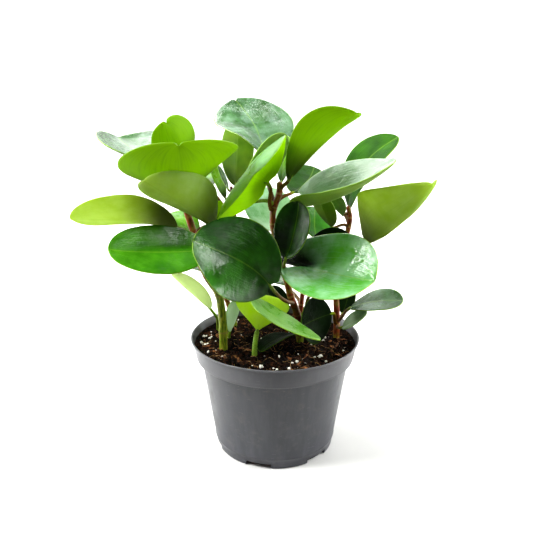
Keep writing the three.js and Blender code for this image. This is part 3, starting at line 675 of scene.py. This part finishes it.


# Peperomia leaf: a thick, waxy cuticle on top, from glossy dark green to a pale bloom that is partly a
# painted sheen, and a paler, matt underside. Light from behind shows through it, mostly yellow green. The
# midrib and the rim are lighter, the rim partly as a painted highlight along the edge, and faint veins run
# from base to tip. Painted shade darkens the blade towards its base and over a shaded half.
def waxy_leaf(name, upper, under=("#4f7810", "#7fa032"), glow="#8cb400", share=0.3, shine=0.3, ior=1.5,
        streaks=0.4, base=0.3, flecks=0.0, rib=0.4):
    material, tree, mm = new_material(f"{name}_peperomia_leaf")
    marks = {key: mark(tree, key) for key in ("upper", "stalk", "red", "inland", "shore", "tint", "dim")}
    flat = add(tree, "ShaderNodeUVMap", uv_map="blade").outputs[0]
    reach = add(tree, "ShaderNodeSeparateXYZ", {0: flat}).outputs[0]
    veins = clouds(tree, stretched(tree, flat, 2.6, 40.0, 1.0), 1.0, 4.0, 0.62)
    patches = clouds(tree, mm, 17, 4.0, 0.55)
    grain = clouds(tree, mm, 1.1, 3.0, 0.6)
    bloom_and_sheen = clouds(tree, mm, 15, 6.0, 0.68)
    ripple = clouds(tree, mm, 7, 2.0)

    top = blend(tree, ramp(tree, patches, 0.32, 0.7), *upper)
    top = blend(tree, ramp(tree, veins, 0.46, 0.72, 0.0, streaks), top, upper[1])
    # Flecks of waxy bloom, partly a painted sheen
    top = blend(tree, ramp(tree, bloom_and_sheen, 0.36, 0.74, 0.0, flecks), top, "#bcdcc8")
    below = blend(tree, ramp(tree, patches, 0.3, 0.7), *under)
    below = blend(tree, ramp(tree, veins, 0.45, 0.7, 0.0, 0.6), below, under[1])
    colour = blend(tree, marks["upper"], below, top)
    tint = add(tree, "ShaderNodeMapRange", {0: marks["tint"], 1: 0.0, 2: 1.0, 3: 0.88, 4: 1.1}).outputs[0]
    colour = add(tree, "ShaderNodeHueSaturation", {"Color": colour, "Value": tint}).outputs[0]
    colour = blend(tree, ramp(tree, marks["inland"], 0.15, 0.75, rib, 0.0), colour, "#8db23c")
    # The lighter rim is partly the leaf's own and partly a painted highlight along the edge
    colour = blend(tree, ramp(tree, marks["shore"], 0.05, 0.7, 2 * rib, 0.0), colour, "#a4cc50")
    # Painted shade: over the shaded half and round the base, and darker towards the base by the finish's base
    # strength
    shade = calc(tree, "MAXIMUM", marks["dim"], ramp(tree, reach, 0.0, 0.6, base, 0.0))
    colour = blend(tree, shade, colour, PAINTED_SHADE)
    stalk = blend(tree, ramp(tree, grain, 0.35, 0.65), "#64880c", "#88a82c")
    stalk = blend(tree, marks["red"], stalk, "#561008")
    colour = blend(tree, marks["stalk"], colour, stalk)

    rough = add(tree, "ShaderNodeMapRange", {0: marks["upper"], 1: 0.0, 2: 1.0, 3: 0.6, 4: shine}).outputs[0]
    rough = calc(tree, "ADD", rough, ramp(tree, patches, 0.3, 0.7, -0.04, 0.06))
    bump = relief(tree, grain, 0.4, 0.12)
    bump = relief(tree, veins, 0.6, 0.6, bump)
    bump = relief(tree, ripple, 0.5, 1.2, bump)
    through = blend(tree, ramp(tree, patches, 0.3, 0.7, 0.0, 0.35), glow, under[1])
    through = blend(tree, ramp(tree, veins, 0.45, 0.72, 0.0, 0.4), through, under[0])
    # The light that shows through gets the same painted shade
    through = blend(tree, shade, through, PAINTED_SHADE)
    lit = add(tree, "ShaderNodeBsdfTranslucent", {"Color": through}).outputs[0]
    most = calc(tree, "MULTIPLY_ADD", marks["upper"], -0.55 * share, share)
    thin = calc(tree, "MULTIPLY", most, calc(tree, "SUBTRACT", 1.0, marks["stalk"]))
    surface = principled(tree, colour, rough, ior, bump)
    mixed = add(tree, "ShaderNodeMixShader", {0: thin, 1: surface, 2: lit})
    add(tree, "ShaderNodeOutputMaterial", {0: mixed.outputs[0]})
    return material


# Fleshy peperomia stem: smooth skin, green at the foot and red brown above, with paler rings at the nodes.
def fleshy_stem(name):
    material, tree, mm = new_material(name)
    streaks = clouds(tree, stretched(tree, mm, 1.0, 1.0, 0.18), 1.4, 4.0, 0.6)
    blotches = clouds(tree, mm, 9, 3.0)
    dots = add(tree, "ShaderNodeTexVoronoi", {"Vector": mm, "Scale": 1 / 1.6}).outputs["Distance"]
    brown = blend(tree, ramp(tree, streaks, 0.35, 0.65), "#48120a", "#88421a")
    brown = blend(tree, ramp(tree, blotches, 0.44, 0.66, 0.0, 0.7), brown, "#6c6420")
    fresh = blend(tree, ramp(tree, streaks, 0.35, 0.65), "#4c6804", "#949c34")
    edge = calc(tree, "ADD", mark(tree, "green"), ramp(tree, blotches, 0.3, 0.7, -0.25, 0.25))
    colour = blend(tree, ramp(tree, edge, 0.5, 0.85), brown, fresh)
    colour = blend(tree, ramp(tree, dots, 0.0, 0.22, 0.35, 0.0), colour, "#a08a5c")
    colour = blend(tree, ramp(tree, mark(tree, "scar"), 0.3, 0.9, 0.0, 0.65), colour, "#8c7a48")
    rough = ramp(tree, streaks, 0.3, 0.7, 0.36, 0.52)
    surface = principled(tree, colour, rough, 1.35, relief(tree, streaks, 0.5, 0.3))
    add(tree, "ShaderNodeOutputMaterial", {0: surface})
    return material


# Injection moulded polypropylene with carbon black: a satin, slightly dusty grey with fine scuffs and flow
# streaks, and a rim band made paler as painted light.
def moulded_plastic(name):
    material, tree, mm = new_material(name)
    streaks = clouds(tree, stretched(tree, mm, 1.0, 1.0, 0.12), 7, 5.0, 0.6)
    dust = clouds(tree, mm, 12, 6.0, 0.65)
    grain = clouds(tree, mm, 0.9, 2.0)
    scuffs = clouds(tree, stretched(tree, mm, 0.35, 0.35, 2.0), 3, 3.0)
    height = add(tree, "ShaderNodeSeparateXYZ", {0: mm}).outputs[2]
    colour = blend(tree, ramp(tree, streaks, 0.35, 0.7), "#3a3b40", "#44454a")
    colour = blend(tree, ramp(tree, dust, 0.5, 0.8, 0.0, 0.35), colour, "#6b6864")
    colour = blend(tree, ramp(tree, scuffs, 0.66, 0.74, 0.0, 0.25), colour, "#7b7b7c")
    # The rim band is paler as painted light
    colour = blend(tree, ramp(tree, height, BAND_FOOT, BAND_TOP, 0.0, 0.3), colour, "#7b7b7e")
    rough = calc(tree, "ADD", ramp(tree, streaks, 0.3, 0.7, 0.3, 0.38), ramp(tree, dust, 0.4, 0.8, 0.0, 0.16))
    bump = relief(tree, streaks, 0.25, 0.5, relief(tree, grain, 0.3, 0.08))
    add(tree, "ShaderNodeOutputMaterial", {0: principled(tree, colour, rough, 1.49, bump)})
    return material


# Peat and composted bark: nearly black where damp, with brown crumbs and lighter grains.
def potting_mix(name):
    material, tree, mm = new_material(name)
    crumbs = add(tree, "ShaderNodeTexVoronoi", {"Vector": mm, "Scale": 1 / 2.4, "Randomness": 1.0})
    fine = clouds(tree, mm, 1.2, 6.0, 0.7)
    damp = clouds(tree, mm, 14, 3.0)
    shade = add(tree, "ShaderNodeSeparateColor", {0: crumbs.outputs["Color"]}).outputs[0]
    colour = blend(tree, ramp(tree, shade, 0.35, 1.0), "#050302", "#3c2212")
    colour = blend(tree, ramp(tree, fine, 0.56, 0.68, 0.0, 0.9), colour, "#7a5234")
    colour = blend(tree, ramp(tree, damp, 0.4, 0.62, 0.0, 0.7), colour, "#040201")
    bump = relief(tree, calc(tree, "SUBTRACT", fine, crumbs.outputs["Distance"]), 0.9, 0.9)
    surface = principled(tree, colour, ramp(tree, damp, 0.3, 0.7, 0.9, 0.7), 1.2, bump)
    add(tree, "ShaderNodeOutputMaterial", {0: surface})
    return material


# Expanded perlite, bark and root fibre are dry, open and dull, and differ in colour and grain.
def dry_bits(name, dark, light, grain_mm, stretch=1.0):
    material, tree, mm = new_material(name)
    grain = clouds(tree, stretched(tree, mm, 1.0, stretch, 1.0), grain_mm, 4.0, 0.65)
    colour = blend(tree, ramp(tree, grain, 0.35, 0.65), dark, light)
    surface = principled(tree, colour, 0.85, 1.4, relief(tree, grain, 0.6, 0.4))
    add(tree, "ShaderNodeOutputMaterial", {0: surface})
    return material


# Pot

def build_pot():
    """The wall is turned from one outline, with the drain notches cut out of its foot."""
    rings = [[(x, y, z) for x, y in circle(r, POT_SIDES)] for r, z in POT_OUTLINE[1:-1]]
    vertices, faces = closed_skin((0, 0, POT_OUTLINE[0][1]), rings, (0, 0, POT_OUTLINE[-1][1]))
    pot = make_mesh("nursery_pot", vertices, faces)
    cutter = bmesh.new()
    for n in range(NOTCH_COUNT):
        corners = bmesh.ops.create_cube(cutter, size=1.0)["verts"]
        size = Vector((NOTCH_DEPTH, NOTCH_WIDTH, NOTCH_HEIGHT + NOTCH_OVERCUT)) * MM
        middle = Vector((NOTCH_RADIUS, 0, NOTCH_HEIGHT / 2 - NOTCH_OVERCUT / 2)) * MM
        turn = math.radians(FIRST_NOTCH) + n * 2 * math.pi / NOTCH_COUNT
        bmesh.ops.scale(cutter, vec=size, verts=corners)
        bmesh.ops.translate(cutter, vec=middle, verts=corners)
        bmesh.ops.rotate(cutter, cent=(0, 0, 0), matrix=Matrix.Rotation(turn, 3, "Z"), verts=corners)
    cut_mesh = bpy.data.meshes.new("notch_cutter")
    cutter.to_mesh(cut_mesh)
    cutter.free()
    cut = bpy.data.objects.new("notch_cutter", cut_mesh)
    bpy.context.scene.collection.objects.link(cut)
    trim = pot.modifiers.new("notches", "BOOLEAN")
    trim.object = cut
    trim.operation = "DIFFERENCE"
    trim.solver = "EXACT"
    baked = bpy.data.meshes.new_from_object(pot.evaluated_get(bpy.context.evaluated_depsgraph_get()))
    pot.modifiers.clear()
    pot.data = baked
    bpy.data.objects.remove(cut)
    return pot


# Soil

def inside_radius(z):
    radii, heights = zip(*POT_INSIDE)
    return float(np.interp(z, heights, radii))


def soil_height(x, y):
    """The soil's surface: broad waves, crumbs and lumps, calmer at the pot's wall."""
    edge = math.hypot(x, y) / SOIL_RADIUS
    waves = math.sin(x * 0.13 + 1.1) * math.cos(y * 0.17 - 0.4) + 0.6 * math.sin(x * 0.31 - y * 0.23)
    low = SOIL_RELIEF * waves * (1 - edge ** 4)
    p = Vector((x, y, 0.0))
    crumbs = CRUMB_HEIGHT * noise.turbulence(p / CRUMB_SIZE, 4, False)
    crumbs += GRIT_HEIGHT * noise.noise(p / GRIT_SIZE)
    cells = noise.voronoi(p / LUMP_SIZE)[0]
    lumps = LUMP_HEIGHT * (0.5 - cells[0])
    calm = min(1.0, (1.0 - edge) * EDGE_FADE + EDGE_LEAST)
    return SOIL_LEVEL + low + (crumbs + lumps - CRUMB_HEIGHT) * calm


def build_soil():
    """A crumbly top on a plain body that fills the pot."""
    rings = []
    for k in range(1, SOIL_RINGS + 1):
        flat = circle(SOIL_RADIUS * (k / SOIL_RINGS) ** 0.9, SOIL_SIDES, 0.5 * (k % 2))
        rings.append([(x, y, soil_height(x, y)) for x, y in flat])
    for z in SOIL_BODY:
        flat = circle(inside_radius(z) - SOIL_GAP, SOIL_SIDES, 0.5 * (SOIL_RINGS % 2))
        rings.append([(x, y, z) for x, y in flat])
    vertices, faces = closed_skin((0, 0, soil_height(0, 0)), rings, (0, 0, SOIL_BODY[-1]))
    # This skin starts at its top, so its faces are turned over
    faces = [(face[0], *reversed(face[1:])) for face in faces]
    return make_mesh("potting_soil", vertices, faces)


# The larger perlite grains and bark chips that lie on the soil: place in mm and size across
GRAINS = [(-12, -53, 4.4), (-2, -55, 2.2), (1, -57, 3.2), (11, -57, 2.8), (14, -46, 3.0), (18, -43, 3.2),
    (39, -33, 4.2), (43, -41, 3.0), (55, -31, 2.6), (-66, 13, 3.0), (-59, 14, 2.4), (-67, 1, 3.2),
    (-61, -3, 2.6), (-59, -21, 2.8)]
BARK = [(-30, -17, 9.0), (26, -31, 6.5), (56, -8, 8.0), (62, -22, 6.0), (-11, -39, 5.0), (-23, -41, 6.0)]


def grain_tree(name, splits, squash, roughness, tilt, smooth, material, seed):
    """A Geometry Nodes tree that sets an uneven lump of the point's size on each point and turns it."""
    tree = bpy.data.node_groups.new(name, "GeometryNodeTree")
    tree.interface.new_socket("Points", in_out="INPUT", socket_type="NodeSocketGeometry")
    tree.interface.new_socket("Lump across (m)", in_out="INPUT", socket_type="NodeSocketFloat")
    tree.interface.new_socket("Seed", in_out="INPUT", socket_type="NodeSocketInt")
    tree.interface.new_socket("Grains", in_out="OUTPUT", socket_type="NodeSocketGeometry")
    given = add(tree, "NodeGroupInput")
    variants = []
    where = add(tree, "GeometryNodeInputPosition").outputs[0]
    for k in range(GRAIN_KINDS):
        ball = add(tree, "GeometryNodeMeshIcoSphere", {"Radius": 0.5, "Subdivisions": splits})
        shift = (seed + 3.7 * k, 1.3 * k, 2.1)
        moved = add(tree, "ShaderNodeVectorMath", {0: where, 1: shift}, operation="ADD")
        bumpy = add(tree, "ShaderNodeTexNoise", {"Vector": moved.outputs[0], "Scale": 1.7, "Detail": 2.0})
        centred = add(tree, "ShaderNodeVectorMath", {0: bumpy.outputs["Color"], 1: (0.5, 0.5, 0.5)},
            operation="SUBTRACT")
        scaled = add(tree, "ShaderNodeVectorMath", {0: centred.outputs[0], 3: roughness}, operation="SCALE")
        lump = add(tree, "GeometryNodeSetPosition",
            {"Geometry": ball.outputs[0], "Offset": scaled.outputs[0]})
        flat = add(tree, "GeometryNodeTransform", {"Geometry": lump.outputs[0], "Scale": squash})
        variants.append(flat.outputs[0])
    kinds = add(tree, "GeometryNodeGeometryToInstance")
    for socket in variants:
        tree.links.new(socket, kinds.inputs[0])
    across = add(tree, "GeometryNodeInputNamedAttribute", {"Name": "across"}, data_type="FLOAT")
    size = calc(tree, "MULTIPLY", across.outputs[0], given.outputs[1])
    turn = add(tree, "FunctionNodeRandomValue",
        {0: (-tilt, -tilt, 0.0), 1: (tilt, tilt, FULL_TURN), "Seed": given.outputs[2]},
        data_type="FLOAT_VECTOR")
    pick = add(tree, "FunctionNodeRandomValue", {4: 0, 5: GRAIN_KINDS - 1, "Seed": given.outputs[2]},
        data_type="INT")
    placed = add(tree, "GeometryNodeInstanceOnPoints",
        {"Points": given.outputs[0], "Instance": kinds.outputs[0], "Pick Instance": True,
            "Instance Index": pick.outputs[2], "Rotation": turn.outputs[0], "Scale": size})
    solid = add(tree, "GeometryNodeRealizeInstances", {0: placed.outputs[0]})
    shaded = add(tree, "GeometryNodeSetShadeSmooth", {0: solid.outputs[0], "Shade Smooth": smooth})
    dressed = add(tree, "GeometryNodeSetMaterial", {"Geometry": shaded.outputs[0], "Material": material})
    add(tree, "NodeGroupOutput", {0: dressed.outputs[0]})
    return tree


def scatter(name, spots, tree, seed):
    """Runs the tree on a cloud of points, each (x, y, z, size across) in mm, and keeps the plain mesh."""
    cloud = make_mesh(name, [spot[:3] for spot in spots], [])
    give(cloud, across=[spot[3] for spot in spots])
    maker = cloud.modifiers.new("grains", "NODES")
    maker.node_group = tree
    sockets = {item.name: item.identifier for item in tree.interface.items_tree if item.in_out == "INPUT"}
    maker[sockets["Lump across (m)"]] = MM
    maker[sockets["Seed"]] = seed
    cloud.update_tag()
    made = bpy.data.meshes.new_from_object(cloud.evaluated_get(bpy.context.evaluated_depsgraph_get()))
    cloud.modifiers.clear()
    cloud.data = made
    return cloud


def spots_on_soil(count, smallest, largest, sink, listed, seed):
    """Listed places and random ones all over the soil, clear of the stems."""
    draw = np.random.default_rng(seed)
    spots = [(x, y, soil_height(x, y) + size * sink, size) for x, y, size in listed]
    feet = [stem["points"][0] for stem in STEMS.values()]
    while len(spots) < count + len(listed):
        x, y = draw.uniform(-SOIL_RADIUS, SOIL_RADIUS, 2)
        size = smallest + (largest - smallest) * draw.random() ** SMALL_SHARE
        nearest = min(math.hypot(x - foot[0], y - foot[1]) for foot in feet)
        if math.hypot(x, y) > SOIL_RADIUS - size or nearest < STEM_CLEARANCE:
            continue
        spots.append((x, y, soil_height(x, y) + size * sink, size))
    return spots


def build_fibres(count, seed):
    """Fine roots and bark fibres that lie on the soil in loose bends."""
    draw = np.random.default_rng(seed)
    vertices, faces = [], []
    while count:
        x, y = draw.uniform(-FIBRE_RADIUS, FIBRE_RADIUS, 2)
        if math.hypot(x, y) > FIBRE_RADIUS:
            continue
        count -= 1
        heading = draw.uniform(0, 2 * math.pi)
        path = []
        for k in range(FIBRE_POINTS):
            lift = FIBRE_LIFT + FIBRE_ARCH * math.sin(k / (FIBRE_POINTS - 1) * math.pi)
            path.append((x, y, soil_height(x, y) + lift))
            heading += draw.normal(0, FIBRE_BEND)
            x += FIBRE_STEP * math.cos(heading)
            y += FIBRE_STEP * math.sin(heading)
            if math.hypot(x, y) > SOIL_RADIUS - 2:
                break
        if len(path) < 4:
            continue
        radii = np.linspace(FIBRE_THICK, FIBRE_THIN, len(path))
        ring, sides = sweep(np.array(path), radii, 5, np.array([0.1, 0.2, 1.0]))
        faces += [tuple(len(vertices) + k for k in face) for face in sides]
        vertices += ring.tolist()
    return make_mesh("root_fibres", vertices, faces)


# The plant

# Each finish of leaf: the start of its material's name, two greens on top, two underneath, the colour and
# share of the light that comes through, the top's roughness as its shine, the cuticle's index, the strength
# of the streaks, of the painted shade towards the base, of the flecks of waxy bloom and painted sheen and of
# the lighter midrib and rim, the rim partly a painted highlight, and its slot. What a row leaves out is
# waxy_leaf's usual value. Night, moss and deep are darker copies as painted shade, and the pale tops of
# pale, grey and ash are partly a painted sheen.
FINISHES = {
    "dark": dict(name="glossy", upper=("#1a5004", "#337a10"), shine=0.2, rib=0.35, slot="leaf_dark"),
    "gloss": dict(name="bright_glossy", upper=("#50a034", "#90c494"), shine=0.18, ior=1.6, streaks=0.45,
        base=0.1, rib=0.42, slot="leaf_dark"),
    "mid": dict(name="mid_green", upper=("#307808", "#54a01c"), shine=0.16, ior=1.4, streaks=0.5,
        base=0.2, slot="leaf_dark"),
    # Night: a darker copy of the glossy green, as painted shade
    "night": dict(name="shaded_glossy", upper=("#0e3a04", "#2c6414"), share=0.2, shine=0.22, ior=1.4,
        rib=0.3, slot="leaf_dark"),
    # Moss: a darker copy of the young green, as painted shade
    "moss": dict(name="shaded_young", upper=("#2c6408", "#4f8a1c"), under=("#4c7404", "#789818"),
        glow="#94b800", share=0.4, ior=1.35, base=0.5, rib=0.35, slot="leaf_fresh"),
    "cream": dict(name="newest", upper=("#c4dc9c", "#e4f4cc"), under=("#c4d894", "#e4f0c0"),
        glow="#e0ecbc", share=0.75, ior=1.4, base=0.0, rib=0.35, slot="leaf_fresh"),
    # Ash: a paler top, partly a painted sheen, over the darker underside of deep, painted shade
    "ash": dict(name="dull", upper=("#5c8850", "#acc4a0"), under=("#1c300a", "#304a16"), glow="#3c6006",
        share=0.15, ior=1.4, streaks=0.5, flecks=0.2, rib=0.2, slot="leaf_deep"),
    "matt": dict(name="matt", upper=("#1c4406", "#346412"), shine=0.5, ior=1.15, base=0.5, rib=0.35,
        slot="leaf_dark"),
    # Deep: a near black copy for leaves in deep shade, as painted shade
    "deep": dict(name="shaded", upper=("#061403", "#102408"), under=("#1c300a", "#304a16"),
        glow="#3c6006", share=0.15, ior=1.08, rib=0.08, slot="leaf_deep"),
    "fresh": dict(name="young", upper=("#3a8004", "#66a014"), under=("#6c9400", "#98b824"),
        glow="#b8d800", share=0.7, shine=0.26, ior=1.35, base=0.75, slot="leaf_fresh"),
    "olive": dict(name="olive", upper=("#3a8004", "#66a014"), under=("#b0c85c", "#dcec9c"),
        glow="#c8dc60", share=0.75, shine=0.26, ior=1.35, streaks=0.7, base=0.6, slot="leaf_fresh"),
    "lime": dict(name="new", upper=("#7cac28", "#a0c85c"), under=("#c4dc5c", "#e0ecac"), glow="#e0fc50",
        share=0.8, base=0.0, rib=0.35, slot="leaf_fresh"),
    "silver": dict(name="silvery_young", upper=("#345c2c", "#64905c"), under=("#a4d800", "#bce430"),
        glow="#d8fc00", share=0.68, ior=1.22, streaks=0.6, base=0.0, flecks=0.15, rib=0.42,
        slot="leaf_fresh"),
    "jade": dict(name="jade", upper=("#58902c", "#84b060"), under=("#88bc00", "#a8d020"), glow="#90c840",
        share=0.4, ior=1.4, streaks=0.6, base=0.0, slot="leaf_fresh"),
    # Pale: a pale waxy top, partly a painted sheen
    "pale": dict(name="waxy", upper=("#90b090", "#bcd0bc"), under=("#86b020", "#a0c048"), glow="#a8c070",
        share=0.35, shine=0.26, ior=1.36, streaks=0.7, base=0.1, flecks=0.3, slot="leaf_pale"),
    "blue": dict(name="blue_green", upper=("#1e4614", "#38682e"), under=("#5f8c18", "#8aac40"),
        glow="#90b800", shine=0.26, streaks=0.6, flecks=0.25, slot="leaf_pale"),
    # Grey: a pale top, partly a painted sheen and painted light
    "grey": dict(name="pale_painted_sheen", upper=("#70b074", "#bce0bc"), under=("#c0ccb8", "#e0e8dc"), glow="#c0dcac",
        share=0.6, streaks=0.6, base=0.0, flecks=0.4, slot="leaf_pale"),
}
# The slots come out of the rows, and waxy_leaf is given the rest
SLOTS = {tone: look.pop("slot") for tone, look in FINISHES.items()}
SKINS = {tone: waxy_leaf(**look) for tone, look in FINISHES.items()}


def finish(piece, material, slot, *nodes):
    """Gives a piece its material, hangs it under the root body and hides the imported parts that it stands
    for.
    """
    piece.data.materials.clear()
    piece.data.materials.append(material)
    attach(piece, "root")
    if nodes:
        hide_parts(*nodes)


stem_skin = fleshy_stem("peperomia_stem_skin")
for name, stem in STEMS.items():
    finish(build_stem(name, stem), stem_skin, "stem", f"stem_{name}")
for order, (name, leaf) in enumerate(LEAVES.items()):
    tone = leaf["tone"]
    finish(build_leaf(name, leaf, order), SKINS[tone], SLOTS[tone], f"leaf_{name}")

finish(build_pot(), moulded_plastic("moulded_polypropylene"), "pot", "pot")
finish(build_soil(), potting_mix("peat_potting_mix"), "soil", "soil")

perlite = dry_bits("expanded_perlite", "#dcd6ca", "#fcfaf4", 0.9)
bark = dry_bits("composted_pine_bark", "#3a2010", "#94623a", 2.2, 0.4)
fibre = dry_bits("root_fibre", "#4f3722", "#a8875a", 2.0)
peat = potting_mix("peat_crumbs")
white_tree = grain_tree("Perlite grains", 2, (1.0, 0.85, 0.8), 0.95, 0.8, True, perlite, 5.0)
bark_tree = grain_tree("Bark chips", 2, (1.0, 0.36, 0.2), 0.6, 0.45, False, bark, 9.0)
crumb_tree = grain_tree("Peat crumbs", 1, (1.0, 0.75, 0.6), 0.8, 0.9, False, peat, 2.0)
finish(scatter("perlite", spots_on_soil(75, 0.8, 3.2, 0.15, GRAINS, 11), white_tree, 3), perlite, "soil")
finish(scatter("bark_chips", spots_on_soil(190, 2.2, 9.0, 0.08, BARK, 12), bark_tree, 4), bark, "soil")
finish(scatter("peat_crumbs", spots_on_soil(2200, 1.0, 4.6, 0.12, [], 13), crumb_tree, 5), peat, "soil")
finish(build_fibres(130, 14), fibre, "soil")


# Studio

def area_light(name, place, aim, size, radiance):
    """A softbox: its place, what it points at, its two sides in metres and how bright its face is."""
    light = bpy.data.lights.new(name, "AREA")
    light.shape = "RECTANGLE"
    light.size, light.size_y = size
    light.energy = radiance * math.pi * size[0] * size[1]
    lamp = bpy.data.objects.new(name, light)
    bpy.context.scene.collection.objects.link(lamp)
    lamp.location = Vector(place)
    lamp.rotation_euler = (Vector(aim) - Vector(place)).to_track_quat("-Z", "Y").to_euler()


def ground(name, back, lift, colour, glow):
    """A flat sheet that reaches back to one edge. Its glow grows with the distance from the pot."""
    corners = [(-FLOOR_HALF, -FLOOR_HALF, lift), (FLOOR_HALF, -FLOOR_HALF, lift), (FLOOR_HALF, back, lift),
        (-FLOOR_HALF, back, lift)]
    sheet = make_mesh(name, corners, [(0, 1, 2, 3)], False)
    material, tree, mm = new_material(name)
    away = add(tree, "ShaderNodeVectorMath", {0: mm}, operation="LENGTH").outputs["Value"]
    strength = ramp(tree, away, GLOW_STARTS, GLOW_FULL, 0.0, glow)
    face = add(tree, "ShaderNodeBsdfPrincipled", {"Base Color": linear(colour), "Roughness": 0.8,
        "Emission Color": (1, 1, 1, 1), "Emission Strength": strength})
    add(tree, "ShaderNodeOutputMaterial", {0: face.outputs[0]})
    sheet.data.materials.append(material)
    return sheet


# White acrylic table with a painted glow that grows away from the pot, to read as an endless white ground
table = ground("white_acrylic_table", FLOOR_HALF, 0.0, "#ccccca", TABLE_GLOW)
# Black felt in front of the pot, hidden from the camera: it darkens what the leaves and the pot mirror
card = ground("black_felt_card", CARD_EDGE, CARD_LIFT, "#302e2c", 0.0)
card.visible_camera = False
card.visible_shadow = False

# The room: bright behind the pot, dim in front and overhead, with a plain white backdrop for the camera
world = bpy.data.worlds.new("studio")
bpy.context.scene.world = world
world.use_nodes = True
room = world.node_tree
room.nodes.clear()
direction = add(room, "ShaderNodeTexCoord").outputs["Generated"]
parts = add(room, "ShaderNodeSeparateXYZ", {0: direction})
walls = ramp(room, parts.outputs[1], -0.5, 0.55, FRONT_WALL, BACK_WALL)
above = ramp(room, parts.outputs[2], 0.6, 0.9, 1.0, CEILING)
room_light = add(room, "ShaderNodeBackground", {0: (1, 1, 1, 1), 1: calc(room, "MULTIPLY", walls, above)})
backdrop = add(room, "ShaderNodeBackground", {0: (1, 1, 1, 1), 1: BACKDROP})
seen = add(room, "ShaderNodeLightPath").outputs["Is Camera Ray"]
sky = add(room, "ShaderNodeMixShader", {0: seen, 1: room_light.outputs[0], 2: backdrop.outputs[0]})
add(room, "ShaderNodeOutputWorld", {0: sky.outputs[0]})

area_light("back_softbox", (0.02, 1.35, 1.08), (0, 0, 0.2), (1.3, 0.6), 1.7)
area_light("back_left_softbox", (-0.69, 0.82, 1.39), (0, 0, 0.2), (0.6, 0.6), 6.0)
area_light("left_softbox", (-1.08, -0.25, 1.22), (0, 0, 0.2), (0.55, 0.5), 18.0)
area_light("top_spot", (0.16, -0.1, 1.75), (0, 0, 0.2), (0.3, 0.3), 12.0)
area_light("right_window", (1.3, 0.05, 0.95), (0, 0, 0.2), (0.65, 0.6), 8.5)
area_light("left_panel", (-1.15, 0.55, 0.2), (0, 0, 0.06), (0.6, 0.4), 6.0)
area_light("right_panel", (1.15, 0.55, 0.2), (0, 0, 0.06), (0.6, 0.4), 4.0)
area_light("front_card", (0.65, -1.2, 0.42), (0, 0, 0.2), (0.7, 0.4), 1.2)

bpy.context.scene.view_settings.view_transform = "Standard"
bpy.context.scene.view_settings.look = LOOK
bpy.context.scene.view_settings.exposure = EXPOSURE
camera_data = bpy.data.cameras.new("camera")
camera_data.sensor_width = SENSOR
camera_data.lens = LENS
camera = bpy.data.objects.new("camera", camera_data)
bpy.context.scene.collection.objects.link(camera)
camera.location = Vector(EYE) * MM
camera.rotation_euler = (math.radians(90 - PITCH), 0, 0)
bpy.context.scene.camera = camera
